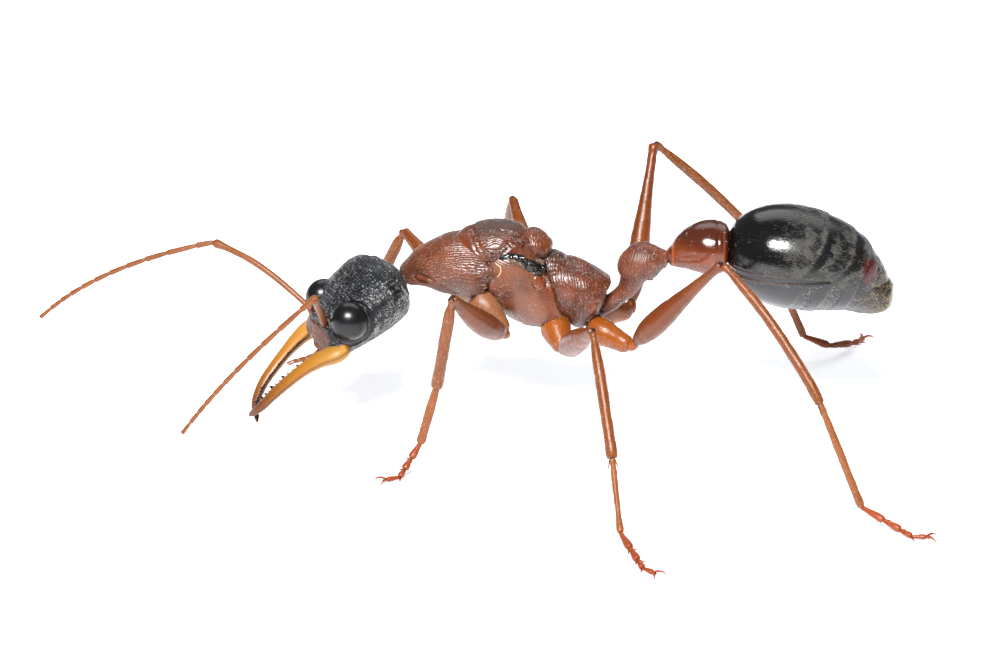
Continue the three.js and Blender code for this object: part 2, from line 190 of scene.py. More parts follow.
# %% Paints
class Paint:
    """The nodes of one material. Every length that it works with is in millimetres."""

    def __init__(self, name, frame=Matrix.Identity(4), **constants):
        self.material = bpy.data.materials.new(name)
        self.material.use_nodes = True
        self.tree = self.material.node_tree
        self.tree.nodes.clear()
        self.shader = self.tree.nodes.new("ShaderNodeBsdfPrincipled")
        for socket, value in constants.items():
            self.shader.inputs[socket.replace("_", " ")].default_value = value
        output = self.tree.nodes.new("ShaderNodeOutputMaterial")
        self.tree.links.new(self.shader.outputs[0], output.inputs[0])
        place, rotation, scale = (TO_FRAME @ frame).inverted().decompose()
        self.at = self.node("ShaderNodeMapping", {}, {
            "Vector": self.node("ShaderNodeTexCoord", {}, {}, "Object"),
            "Location": place, "Rotation": rotation.to_euler(), "Scale": scale,
        })

    def node(self, kind, settings, inputs, output=0):
        """Adds a node: its settings first, then a value or a Wire for each socket."""
        node = self.tree.nodes.new(kind)
        for key, value in settings.items():
            setattr(node, key, value)
        for key, value in inputs.items():
            if isinstance(value, Wire):
                self.tree.links.new(value.socket, node.inputs[key])
            else:
                node.inputs[key].default_value = value
        return Wire(self, node.outputs[output])

    def axis(self, letter, vector=None):
        return self.node("ShaderNodeSeparateXYZ", {}, {0: vector or self.at}, letter)

    def stretched(self, x, y, z):
        """Coordinates multiplied along each axis."""
        return self.node("ShaderNodeVectorMath", {"operation": "MULTIPLY"}, {0: self.at, 1: (x, y, z)})

    def away(self, x, y, z):
        """The distance from a point."""
        settings = {"operation": "DISTANCE"}
        return self.node("ShaderNodeVectorMath", settings, {0: self.at, 1: (x, y, z)}, "Value")

    def noise(self, scale, vector=None, detail=2):
        inputs = {"Vector": vector or self.at, "Scale": scale, "Detail": detail}
        return self.node("ShaderNodeTexNoise", {}, inputs)

    def cells(self, scale, vector=None, chance=1):
        """The distance to the middle of the nearest cell. The cells lie evenly at a chance of 0."""
        return self.node("ShaderNodeTexVoronoi", {"feature": "F1"}, {
            "Vector": vector or self.at, "Scale": scale, "Randomness": chance,
        }, "Distance")

    def net(self, row, step):
        """Coordinates made of two numbers."""
        return self.node("ShaderNodeCombineXYZ", {}, {0: row, 1: step})

    def wrap(self, letter):
        """The place on the piece's own skin: X round it, and Y along it."""
        return self.axis(letter, self.node("ShaderNodeUVMap", {"uv_map": "Wrap"}, {}))

    def attribute(self, name):
        """A number stored on the piece's own vertices."""
        return self.node("ShaderNodeAttribute", {"attribute_name": name}, {}, "Fac")

    def mix(self, factor, one, other):
        return self.node("ShaderNodeMix", {"data_type": "RGBA"}, {0: factor, 6: one, 7: other}, 2)

    def finish(self, depth=0.01, height=None, **varying):
        """Joins what varies to the shader. depth is the relief's full height in millimetres."""
        if height is not None:
            varying["Normal"] = self.node("ShaderNodeBump", {}, {
                "Strength": 1, "Distance": depth * MM, "Height": height,
            })
        for socket, wire in varying.items():
            self.tree.links.new(wire.socket, self.shader.inputs[socket.replace("_", " ")])
        return self.material


def shade(red, green, blue):
    """A colour from its three numbers in a paint program, 0 to 255, as light."""
    return (*((value / 255 / 12.92) if value < 10.3 else ((value / 255 + 0.055) / 1.055) ** 2.4
              for value in (red, green, blue)), 1)


# %% [markdown]
# ## Skins
# An ant is a row of rounded plates and tubes. Each is drawn as a skin: an oval section that slides
# along a line of stations, and rounds off at both ends. A place on a skin is two numbers, how far round
# it and how far along it, so a hair can be rooted anywhere on it and a pattern can follow it.

# %% A skin round a line of stations
class Skin:
    """stations are rows of (x, y, z, half width, half height). around runs from 0 at the belly, over
    one side to 0.5 at the back, and down the other side. along runs from 0 to 1. The ends are rounded
    off over the lengths first and last. An oval with a square above 2 is boxier. cut takes a stretch of
    the line, and warp is a rule that moves each point of the finished skin."""

    def __init__(self, stations, across=(1, 0, 0), square=2.0, first=0.4, last=0.4, cut=(0, 1), warp=None):
        self.rows = [Vector(row) for row in stations]
        self.across = Vector(across)
        self.square, self.first, self.last, self.warp = square, first, last, warp
        self.places = [0.0]
        for one, other in zip(self.rows, self.rows[1:]):
            self.places.append(self.places[-1] + (other.xyz - one.xyz).length)
        gaps = zip(self.rows, self.rows[1:], self.places, self.places[1:])
        steps = [(other - one) / (end - start) for one, other, start, end in gaps]
        self.slopes = [(one + other) / 2 for one, other in zip([steps[0], *steps], [*steps, steps[-1]])]
        self.low, self.high = self.places[-1] * cut[0], self.places[-1] * cut[1]
        self.length = self.high - self.low
        self.latest = (None, None)

    def read(self, place):
        """The station at a place along the line, on a smooth curve between the given ones."""
        i = max(0, min(len(self.rows) - 2, sum(p <= place for p in self.places) - 1))
        span = self.places[i + 1] - self.places[i]
        t = (place - self.places[i]) / span
        hold = 2 * t ** 3 - 3 * t ** 2 + 1
        return (self.rows[i] * hold + self.rows[i + 1] * (1 - hold)
                + self.slopes[i] * ((t ** 3 - 2 * t ** 2 + t) * span)
                + self.slopes[i + 1] * ((t ** 3 - t ** 2) * span))

    def ring(self, along):
        """The middle, the side and up directions with their half sizes, at a share of the length."""
        if self.latest[0] != along:
            place = self.low + along * self.length
            here = self.read(place)
            step = self.places[-1] / 500
            ahead = (self.read(place + step).xyz - self.read(place - step).xyz).normalized()
            side = (self.across - ahead * self.across.dot(ahead)).normalized()
            left = 1
            for distance, radius in ((place - self.low, self.first), (self.high - place, self.last)):
                if radius:
                    left *= math.sqrt(max(0, 1 - (1 - min(1, distance / radius)) ** 2))
            self.latest = (along, (here.xyz, side * here[3] * left, side.cross(ahead) * here[4] * left))
        return self.latest[1]

    def at(self, around, along):
        middle, side, up = self.ring(along)
        angle = math.tau * around
        power = 2 / self.square
        level, rise = -math.sin(angle), -math.cos(angle)
        point = (middle + side * math.copysign(abs(level) ** power, level)
                 + up * math.copysign(abs(rise) ** power, rise))
        return self.warp(point) if self.warp else point

    def lie(self, around, along):
        """A point on the skin, the direction straight out of it, and the direction along it."""
        step = 0.004
        point = self.at(around, along)
        onward = self.at(around, min(1, along + step)) - self.at(around, max(0, along - step))
        round_it = self.at(around + step, along) - self.at(around - step, along)
        out = round_it.cross(onward).normalized()
        if out.dot(point - self.ring(along)[0]) < 0:
            out.negate()
        return point, out, onward.normalized()


def middle_plane(rows):
    """Stations in the ant's middle plane, from rows of (y, z, half width, half height)."""
    return [(0, *row) for row in rows]


# %% [markdown]
# A flat grid is wrapped round the skin like paper round a sausage, and its seam and its two puckered
# ends are sewn. Packing the rows towards the ends, where the skin turns quickly, keeps the ends round.

# %% Wrapping a grid round a skin
BUNCHED = 0.75


def roll(bm, skin, sides, rings):
    """Adds a skin to a bmesh, with the UV map Wrap that holds the place on the skin."""
    if "Wrap" not in bm.loops.layers.uv:
        bm.loops.layers.uv.new("Wrap")
    kept = bm.verts.layers.float
    around_layer, along_layer = (kept.get(name) or kept.new(name) for name in ("around", "along"))
    grid = bmesh.ops.create_grid(bm, x_segments=sides, y_segments=rings, size=0.5, calc_uvs=True)["verts"]
    for vert in grid:
        around, even = vert.co.x + 0.5, vert.co.y + 0.5
        along = even + ((1 - math.cos(math.pi * even)) / 2 - even) * BUNCHED
        vert[around_layer], vert[along_layer] = around, along
        vert.co = skin.at(around, along)
    faces = list({face for vert in grid for face in vert.link_faces})
    bmesh.ops.recalc_face_normals(bm, faces=faces)
    bmesh.ops.remove_doubles(bm, verts=grid, dist=1e-5)
    return bm


def carve(bm, relief):
    """Moves every vertex straight out of the surface by relief(its place, around, along), in mm."""
    bm.normal_update()
    around, along = (bm.verts.layers.float[name] for name in ("around", "along"))
    moves = [(vert, vert.normal * relief(vert.co, vert[around], vert[along])) for vert in bm.verts]
    for vert, move in moves:
        vert.co += move


def hump(distance, width):
    """1 at no distance, falling smoothly away over about one width."""
    return math.exp(-(distance / width) ** 2)


def climb(value, low, high):
    """0 up to low, 1 from high on, and a smooth climb between them."""
    share = max(0, min(1, (value - low) / (high - low)))
    return share * share * (3 - 2 * share)


def fan(stops, value):
    """A value read off a row of (place, value) stops, with straight lines between them."""
    for (low, one), (high, other) in zip(stops, stops[1:]):
        if value <= high:
            return one + (other - one) * max(0, (value - low) / (high - low))
    return stops[-1][1]


def leaning(first, last, stops):
    """A warp that pushes what lies behind a place rearwards by an amount that depends on the height."""
    return lambda p: p + Vector((0, climb(p.y, first, last) * fan(stops, p.z), 0))


# %% Points and lines
MIRROR = {"left": 1, "right": -1}


def left_side(p):
    """A point, or its mirror image if it is on the right."""
    return Vector((abs(p.x), p.y, p.z))


def on_side(sign, x, y, z):
    """A point given for the left, put on the side that the sign stands for."""
    return Vector((x * sign, y, z))


def trace(*rows):
    return [Vector(row) for row in rows]


def to_path(p, path):
    """How far a point is from a line of points, on the ant's left side or on its right."""
    p = left_side(p)
    nearest = 1e9
    for one, other in zip(path, path[1:]):
        way = other - one
        share = max(0, min(1, (p - one).dot(way) / way.length_squared))
        nearest = min(nearest, (p - one - way * share).length)
    return nearest


def aimed(place, way):
    """The frame at a place, with its Z axis along a direction."""
    return Matrix.Translation(place) @ way.to_track_quat("Z", "Y").to_matrix().to_4x4()


# %% [markdown]
# ## Finished pieces
# One helper ends every piece in the same way. It puts the mesh in its place in metres, so that the
# object itself stays at the origin, hangs it on the root body, and hides the solids that it stands for.

# %% The piece helper
made = {}


def piece(name, bm, material, slot, *nodes, frame=Matrix.Identity(4)):
    bmesh.ops.transform(bm, matrix=TO_FRAME @ frame, verts=bm.verts)
    bmesh.ops.recalc_face_normals(bm, faces=bm.faces)
    mesh = bpy.data.meshes.new(name)
    bm.to_mesh(mesh)
    bm.free()
    mesh.shade_smooth()
    mesh.materials.append(material)
    obj = bpy.data.objects.new(name, mesh)
    bpy.context.scene.collection.objects.link(obj)
    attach(obj, "root")
    if nodes:
        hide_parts(*nodes)
    made[name] = sum(len(face.vertices) - 2 for face in mesh.polygons)


def tally(start):
    """How many triangles the pieces have whose names start in a given way."""
    return sum(count for name, count in made.items() if name.startswith(start))

# %% [markdown]
# ## The head's shell
# The head of a bull ant is a flat box of hard black shell. It is rolled from the same stations as its
# solid, then carved: a rim round each eye, a pit with a raised ring where each feeler plugs in, two
# thin keels between the pits, a seam over the mouth plate, and a rim round the back of the head.

# %% The head's large relief
EYE_TILT = (turn(-12, "Z") @ turn(-18, "Y")).to_3x3()
SOCKET = Vector((0.47, -1.24, 0.58))
NEAR_BROW, FAR_BROW = (0.19, 0.1), (0.46, 0.18)  # height and width
OCELLI = [Vector((0, 0.16, 1.02)), Vector((-0.37, 0.5, 1.03)), Vector((0.37, 0.5, 1.03))]


def eye_reach(p):
    """How far a point is from the middle of the nearer eye: 1 on the eye's own surface."""
    gap = EYE_TILT.transposed() @ (left_side(p) - EYE_AT)
    return Vector(a / b for a, b in zip(gap, EYE_HALF)).length


def past_brow(across, ahead):
    """How far out from a brow's line a place is. The carving and the colour both ask."""
    return across - 0.86 - 0.1 * ahead


def past_keel(across, ahead):
    return across - 0.52 - 0.67 * (ahead + 1.34)


def head_forms(p):
    upper = p.z > -0.05
    level = math.hypot(abs(p.x) - SOCKET.x, p.y - SOCKET.y)
    rim = 0.06 * hump(eye_reach(p) - 1.14, 0.06)
    high, wide = NEAR_BROW if p.x > 0 else FAR_BROW
    brow = high * hump(past_brow(abs(p.x), p.y), wide) * hump(p.y + 0.85, 0.42) * upper
    pit = upper * (0.06 * hump(level - 0.27, 0.05) - 0.16 * hump(level, 0.2))
    keel = upper * 0.1 * hump(past_keel(abs(p.x), p.y), 0.05) * hump(p.y + 1.5, 0.25)
    seam = -0.05 * hump(p.y + 1.56 - 0.14 * abs(p.x), 0.03) * hump(p.x, 1.1) * upper
    back_rim = 0.035 * hump(p.y - 1.56, 0.035) - 0.03 * hump(p.y - 1.66, 0.05)
    crowns = sum(0.035 * hump((p - spot).length - 0.12, 0.05) for spot in OCELLI)
    return rim + brow + pit + keel + seam + back_rim + crowns + 0.03 * noise.noise(p * 1.8)


# %% [markdown]
# The shell is netted with fine wrinkles that swell into beads, too small to be worth modelling. They
# stand in rows that run from the mouth round behind each eye, like contour lines round a hill. So each
# vertex keeps two numbers, which row it is in and how far along the row it is, and the material draws a
# bead in every cell of that net. A third number says where the shell is plain.

# %% The net of beads
ROW_END = Vector((1.5, 1.0, -0.1))
ROW_WAY = (ROW_END - EYE_AT).normalized()
ROW_LONG = (ROW_END - EYE_AT).length
ROW_WIDE, BEAD_LONG = 0.1, 0.1


def net(p):
    """The row of a point on the head, and its place along the row, both counted in beads."""
    bent = p + noise.noise_vector(p * 2.2) * 0.06
    gap = left_side(bent) - EYE_AT
    onward = gap.dot(ROW_WAY)
    nearest = max(-0.1, min(ROW_LONG, onward))
    away = (gap - ROW_WAY * nearest).length
    round_end = math.asin(max(-1, min(1, (onward - nearest) / max(away, 0.001)))) * away
    return away / ROW_WIDE, (nearest + round_end) / BEAD_LONG


def head_relief(p, around, along):
    near_eye = climb(eye_reach(p), 1.08, 1.22)
    face = 1 - 0.75 * climb(-p.y, 1.2, 1.45)
    return head_forms(p) + (0.014 * noise.noise(p * 7) + 0.01 * noise.noise(p * 14)) * near_eye * face


# %% The head's skin
head_skin = Skin(middle_plane([
    (-1.9, -0.42, 1.3, 0.34), (-1.6, -0.34, 1.55, 0.56), (-1.1, -0.22, 1.68, 0.84),
    (-0.5, -0.14, 1.78, 1.03), (0.2, -0.1, 1.9, 1.15), (0.9, -0.1, 1.93, 1.19),
    (1.5, -0.1, 1.73, 1.06), (1.98, -0.1, 1.3, 0.82),
]), square=2.25, first=0.25, last=0.85)

# %% The head's material
black = Paint("black_netted_shell", HEAD, Specular_IOR_Level=0.38)
grit = black.noise(45, detail=3)
spread = black.cells(1, black.net(black.attribute("row"), black.attribute("step")), 0.4)
bead = (1 - (spread / 0.48) ** 2).at_least(0) ** 0.5
ahead, across, up = black.axis("Y"), black.axis("X").size(), black.axis("Z")
mouth_plate = ahead.rise(-1.42, -1.6) * (across - 1.25).rise(0.1, -0.1)
brow_line = past_brow(across, ahead).size().rise(0.06, 0.02) * ahead.near(-0.85, 0.42) * up.rise(0.2, 0.4)
pit_near = black.away(*SOCKET).rise(0.42, 0.2)
pit_far = black.away(*on_side(-1, *SOCKET)).rise(0.34, 0.16)
keel_line = past_keel(across, ahead).size().rise(0.08, 0.02) * ahead.near(-1.5, 0.3) * up.rise(-0.1, 0.1)
cheek = up.rise(0.0, -0.75) * black.noise(3).rise(0.3, 0.7)
muzzle = ahead.rise(-0.9, -1.5) * up.rise(-0.1, -0.3)
ground = black.mix(cheek * 0.5, shade(6, 7, 9), shade(34, 34, 36))
ground = black.mix(muzzle * 0.8, ground, shade(84, 58, 50))
ground = black.mix(mouth_plate, ground, black.mix(grit, shade(60, 24, 12), shade(98, 54, 34)))
ground = black.mix((pit_near + pit_far) * 0.95, ground, shade(40, 9, 5))
plain = black.attribute("plain")
# Painted glints: a pale grey is painted into the colour on the tops of many beads, as highlights.
lit = bead ** 7 * (1 - plain * 0.7) * black.noise(2.2).rise(0.3, 0.6)
bead_glints_painted = black.mix(lit, ground, shade(138, 142, 148))
# The keels are pale. The pale line along each brow is partly pale hair and partly a painted highlight on the
# ridge.
HEAD_BLACK = black.finish(
    0.05, bead * (1 - plain) + grit * 0.1,
    Base_Color=black.mix(keel_line * 0.7 + brow_line * 0.35, bead_glints_painted, shade(128, 118, 110)),
    Roughness=0.25 + grit * 0.2 + mouth_plate * 0.15,
)

# %% The head's piece
def head_plain(p):
    """1 where the shell has no beads, as beside an eye."""
    by_eye = climb(-eye_reach(p), -1.2, -1.1)
    return max(by_eye, 0.8 * climb(-p.y, 1.25, 1.45), 0.5 * climb(-p.z, 0.1, 0.6))


head_mesh = roll(bmesh.new(), head_skin, 360, 230)
head_layers = [head_mesh.verts.layers.float.new(key) for key in ("row", "step", "plain")]
for vert in head_mesh.verts:
    for layer, value in zip(head_layers, (*net(vert.co), head_plain(vert.co))):
        vert[layer] = value
carve(head_mesh, head_relief)
piece("head_capsule", head_mesh, HEAD_BLACK, "head_shell", "head", frame=HEAD)
print("head:", made["head_capsule"], "triangles")

# %% [markdown]
# ## Eyes
# Each eye is a bulging cushion of some thousand six-sided lenses. A smooth ball takes the shape, and a
# very shallow honeycomb in the relief softens the highlight, as the lenses do.

# %% Eye material
lens = Paint("eye_lenses", HEAD, Specular_IOR_Level=0.36)
facets = lens.cells(30, chance=0.1)
bloom = lens.noise(1.6, detail=1)
EYE_BLACK = lens.finish(
    0.0004, facets,
    Base_Color=lens.mix(bloom, shade(6, 6, 8), shade(15, 13, 15)),
    Roughness=0.24 + bloom * 0.08,
)

# %% Eye balls
EYE_LIFT = HEAD.to_3x3().transposed() @ Vector((0, -0.04, 0.12))
EYE_SEEN = Vector((0.62, 0.68, 0.695))
RIGHT_EYE_DROP = Vector((0, 0, 0.1))
FLIP = Matrix.Diagonal((-1, 1, 1))


def ball(bm, at, half, tilt=Matrix.Identity(3), turns=32):
    """Adds a smooth egg with its own half sizes and tilt."""
    verts = bmesh.ops.create_uvsphere(bm, u_segments=turns, v_segments=turns // 2, radius=1)["verts"]
    shape = tilt @ Matrix.Diagonal(half).to_3x3()
    for vert in verts:
        vert.co = at + shape @ vert.co
    return bm


for side, sign in MIRROR.items():
    at = on_side(sign, *EYE_AT) + EYE_LIFT - (RIGHT_EYE_DROP if sign < 0 else Vector())
    mesh = ball(bmesh.new(), at, EYE_SEEN, EYE_TILT if sign > 0 else FLIP @ EYE_TILT, 72)
    piece(f"eye_ball_{side}", mesh, EYE_BLACK, "eye", f"eye_{side}", frame=HEAD)

# %% [markdown]
# Three tiny simple eyes sit on the crown of a queen's head. They are beads of dark red glass.

# %% The three simple eyes
bead_glass = Paint("simple_eye", HEAD, Roughness=0.1)
BEAD_RED = bead_glass.finish(Base_Color=bead_glass.mix(bead_glass.noise(9), shade(10, 4, 4), shade(30, 9, 6)))
mesh = bmesh.new()
for spot in OCELLI:
    ball(mesh, spot + Vector((0, 0, 0.02)), (0.075, 0.075, 0.055), turns=20)
piece("simple_eyes", mesh, BEAD_RED, "eye", frame=HEAD)

# %% [markdown]
# ## Jaws
# The mandibles are long blades that cross at their tips. The outer edge is thick and the inner one is a
# saw of black teeth, tall and small by turns. Each blade is a flattened skin, and each tooth is a
# flattened cone sunk into its inner edge.

# %% The jaws' stations
JAW_ROWS = {
    "left": [
        (1.55, -1.2, -0.44, 0.2, 0.2), (1.45, -1.65, -0.37, 0.42, 0.32), (1.24, -2.3, -0.22, 0.37, 0.27),
        (1.05, -2.9, -0.2, 0.31, 0.22), (0.86, -3.6, -0.26, 0.28, 0.2), (0.69, -4.3, -0.36, 0.25, 0.18),
        (0.43, -4.95, -0.55, 0.18, 0.15), (-0.02, -5.42, -0.72, 0.11, 0.1)],
    "right": [
        (-1.55, -1.2, -0.44, 0.2, 0.2), (-1.41, -1.65, -0.33, 0.4, 0.31), (-1.16, -2.3, -0.22, 0.35, 0.27),
        (-0.95, -2.9, -0.2, 0.29, 0.22), (-0.75, -3.6, -0.26, 0.26, 0.2), (-0.59, -4.3, -0.4, 0.24, 0.18),
        (-0.36, -4.95, -0.7, 0.17, 0.15), (0.1, -5.35, -1.1, 0.07, 0.07)],
}
TEETH = {
    # share of the jaw's length, and the tooth's height
    "left": [(0.26, 0.08), (0.33, 0.1), (0.39, 0.17), (0.44, 0.09), (0.49, 0.11), (0.535, 0.19),
             (0.575, 0.1), (0.615, 0.12), (0.655, 0.22), (0.695, 0.1), (0.73, 0.14), (0.775, 0.2),
             (0.82, 0.12), (0.86, 0.16), (0.9, 0.1)],
    "right": [(0.2 + 0.028 * i, (0.07, 0.09, 0.16, 0.08)[i % 4]) for i in range(26)],
}
TOOTH_ROOT = 0.16
TOOTH_AIM = {"left": (-1, -0.25, 0.5), "right": (1, -0.25, 0.1)}
TOOTH_RISE = {"left": 0.35, "right": 0}
jaw_skins = {side: Skin(rows, first=0.16, last=0.3, square=1.9) for side, rows in JAW_ROWS.items()}


# %% [markdown]
# The horn of a jaw is the colour of honey where it is thick. It darkens to red-brown at its hinge, at
# the tip and in a thin line along both edges, so the colour follows the skin: along it, and round it.

# %% Jaw materials
def horn_paint(name, inner_at):
    horn = Paint(name, HEAD, Coat_Weight=0.1, Coat_Roughness=0.2, Specular_IOR_Level=0.3)
    round_it, along = horn.wrap("X"), horn.wrap("Y")
    streak = horn.noise(5, horn.stretched(3, 0.5, 3), 4)
    flesh = horn.mix(along.rise(0.05, 0.45), shade(164, 122, 54), shade(142, 90, 20))
    flesh = horn.mix(streak.rise(0.35, 0.75) * 0.5, flesh, shade(150, 100, 26))
    flesh = horn.mix(along.rise(0.35, 0.85) * 0.9, flesh, shade(74, 25, 7))
    flesh = horn.mix(along.rise(0.09, 0.03) * 0.8, flesh, shade(84, 32, 12))
    inner = round_it.near(inner_at, 0.075) * along.rise(0.1, 0.25)
    outer = round_it.near(1 - inner_at, 0.06) * 0.6
    flesh = horn.mix(outer, flesh, shade(70, 28, 10))
    flesh = horn.mix(inner, flesh, shade(24, 7, 5))
    return horn.finish(0.005, streak + horn.noise(34) * 0.6, Base_Color=flesh, Roughness=0.32 + streak * 0.2)


JAW_HORN = {"left": horn_paint("jaw_horn_left", 0.25), "right": horn_paint("jaw_horn_right", 0.75)}
jet = Paint("tooth_black", HEAD, Roughness=0.25)
TOOTH_BLACK = jet.finish(
    0.003, jet.noise(30), Base_Color=jet.mix(jet.noise(8), shade(10, 6, 5), shade(42, 16, 10)))

# %% Jaw pieces
for side, skin in jaw_skins.items():
    mesh = roll(bmesh.new(), skin, 56, 110)
    piece(f"jaw_{side}", mesh, JAW_HORN[side], "jaw", f"mandible_{side}", frame=HEAD)
    teeth = bmesh.new()
    inward = Vector(TOOTH_AIM[side]).normalized()
    for share, tall in TEETH[side]:
        middle, out, up = skin.ring(share)
        depth = tall + TOOTH_ROOT
        place = middle + up * TOOTH_RISE[side] + inward * (out.length - 0.12 + depth / 2)
        bmesh.ops.create_cone(
            teeth, cap_ends=True, segments=12, radius1=0.07 + 0.35 * tall, radius2=0.01, depth=depth,
            matrix=aimed(place, inward) @ Matrix.Diagonal((1, 0.6, 1, 1)))
    piece(f"jaw_teeth_{side}", teeth, TOOTH_BLACK, "jaw", frame=HEAD)
print("jaws:", made["jaw_left"] + made["jaw_teeth_left"], "triangles each")

# %% [markdown]
# ## Mouth
# Between the jaws lie the lip, and two pairs of thin jointed palps that the ant tastes with.

# %% The lip
rough_brown = Paint("lip_brown", HEAD, Roughness=0.45)
lip_noise = rough_brown.noise(14, detail=4)
LIP_BROWN = rough_brown.finish(
    0.015, lip_noise, Base_Color=rough_brown.mix(lip_noise, shade(64, 26, 14), shade(120, 62, 34)))
mesh = ball(bmesh.new(), Vector((0, -1.72, -0.36)), (0.6, 0.34, 0.2), turns=48)
piece("lip", mesh, LIP_BROWN, "jaw", "labrum", frame=HEAD)

# %% [markdown]
# ## Limbs
# Legs and feelers are tubes between two joints. A limb's section is level across, and its middle may be
# arched upwards. Short joints in a row are each plugged into the flared end of the one before. A
# feeler's are little barrels, and a foot's widen towards their ends like fans.

# %% Limb helpers
def heading(way, sign):
    """The unit vector along a bearing and a pitch, in degrees. The bearing turns from straight ahead
    towards the limb's own side, and sign is 1 on the ant's left and -1 on its right."""
    bearing, pitch = (math.radians(value) for value in way)
    level = math.cos(pitch)
    return Vector((sign * math.sin(bearing) * level, -math.cos(bearing) * level, math.sin(pitch)))


def across_of(start, end):
    """The level direction across a limb."""
    along = end - start
    return Vector((along.y, -along.x, 0)).normalized()


def limb(start, end, rows, bow=0, **options):
    """A skin from start to end, from rows of (share of the length, half width, half height)."""
    across = across_of(start, end)
    up = across.cross(end - start).normalized()
    stations = [(*start.lerp(end, share) + up * bow * 4 * share * (1 - share), wide, high)
                for share, wide, high in rows]
    return Skin(stations, across, **options)


# share of the joint's length, half width and half height as shares of the joint's radius
BARREL = [(0, 0.68, 0.68), (0.12, 0.84, 0.84), (0.7, 1, 1), (0.92, 1.03, 1.03), (1, 0.85, 0.85)]
FAN = [(0, 0.62, 0.62), (0.3, 0.78, 0.78), (0.85, 1.2, 1.1), (1, 0.9, 0.9)]


def short_joints(bm, points, radii, sides, rings, form=BARREL):
    """Adds a row of short joints along some points, one for each radius, and returns their skins."""
    skins = []
    for one, other, radius in zip(points, points[1:], radii):
        rows = [(share, wide * radius, high * radius) for share, wide, high in form]
        skins.append(limb(one.lerp(other, -0.03), other, rows, first=0.03, last=0.05))
        roll(bm, skins[-1], sides, rings)
    return skins


# %% [markdown]
# ## Feelers
# A feeler is elbowed: one long stiff scape, then a whip of eleven joints that bends evenly.

# %% Feeler material
amber = Paint("feeler_amber", Specular_IOR_Level=0.4)
skin_grain = amber.noise(22, detail=3)
blotch = amber.noise(1.6, detail=3)
FEELER_AMBER = amber.finish(
    0.008, skin_grain,
    Base_Color=amber.mix(blotch, shade(88, 40, 9), shade(124, 68, 18)),
    Roughness=0.25 + skin_grain * 0.25,
)

# %% Feeler pieces
SCAPE_LONG = 4.75
WHIP_JOINTS = [0.65, 1.13, 0.85, 0.75, 0.69, 0.62, 0.57, 0.52, 0.42, 0.51, 0.55]
WHIP_RADII = [0.105, *(0.1 - 0.002 * i for i in range(9)), 0.075]
FEELER_ROOT = (0.5, -1.3, 0.36)
FEELERS = {
    # bearings and pitches of the scape and of the whip's first and last joints, and the scape's arch
    "left": {"scape": (87, 34), "first": (-6, -44), "last": (-10, -55), "bow": 0.0},
    "right": {"scape": (31, 23), "first": (7, -15), "last": (5, -43), "bow": 0.35},
}
feeler_skins = []
for side, sign in MIRROR.items():
    ways = FEELERS[side]
    base = HEAD @ on_side(sign, *FEELER_ROOT)
    elbow = base + heading(ways["scape"], sign) * SCAPE_LONG
    scape = limb(base, elbow, [
        (0, 0.12, 0.12), (0.045, 0.15, 0.15), (0.085, 0.1, 0.1), (0.14, 0.105, 0.105), (0.6, 0.12, 0.12),
        (0.9, 0.13, 0.13), (0.96, 0.165, 0.165), (1, 0.16, 0.16)], ways["bow"], first=0.05, last=0.14)
    mesh = roll(bmesh.new(), scape, 24, 60)
    piece(f"feeler_scape_{side}", mesh, FEELER_AMBER, "feeler_shell", f"antenna_{side}_scape")
    points = [elbow]
    for i, length in enumerate(WHIP_JOINTS):
        share = i / (len(WHIP_JOINTS) - 1)
        way = [a + (b - a) * share for a, b in zip(ways["first"], ways["last"])]
        points.append(points[-1] + heading(way, sign) * length)
    mesh = bmesh.new()
    whips = short_joints(mesh, points, WHIP_RADII, 20, 14)
    piece(f"feeler_whip_{side}", mesh, FEELER_AMBER, "feeler_shell", f"antenna_{side}_funiculus")
    feeler_skins.append((scape, whips))
print("feelers:", made["feeler_scape_left"], made["feeler_whip_left"], "triangles each")

# %% [markdown]
# The palps are built like the whips of the feelers, from short barrels. The long pair hangs out between
# the jaws, and the short pair stays under the lip.

# %% Palps
PALP_RADII = [0.055, 0.055, 0.05, 0.045, 0.04]
PALPS = [
    trace((0.2, -1.7, -0.6), (0.12, -2.24, -0.57), (0.11, -2.53, -0.46), (0.1, -2.8, -0.31),
          (0.1, -3.0, -0.2), (0.1, -3.22, -0.14)),
    trace((0.25, -1.65, -0.62), (0.26, -1.9, -0.7), (0.22, -2.15, -0.66)),
]
mesh = bmesh.new()
for palp in PALPS:
    for sign in MIRROR.values():
        short_joints(mesh, [on_side(sign, *p) for p in palp], PALP_RADII, 16, 12)
piece("mouth_palps", mesh, FEELER_AMBER, "jaw", frame=HEAD)

# %% [markdown]
# ## Trunk
# The trunk once carried wings, so it is built from many plates: a collar, a domed plate over the wing
# muscles, a knob behind it, deep side plates, and a sloping rear. Each is a skin, and each has its own
# carving: fine grooves that follow the collar, a raised line on the dome, seams, and a breathing plate.

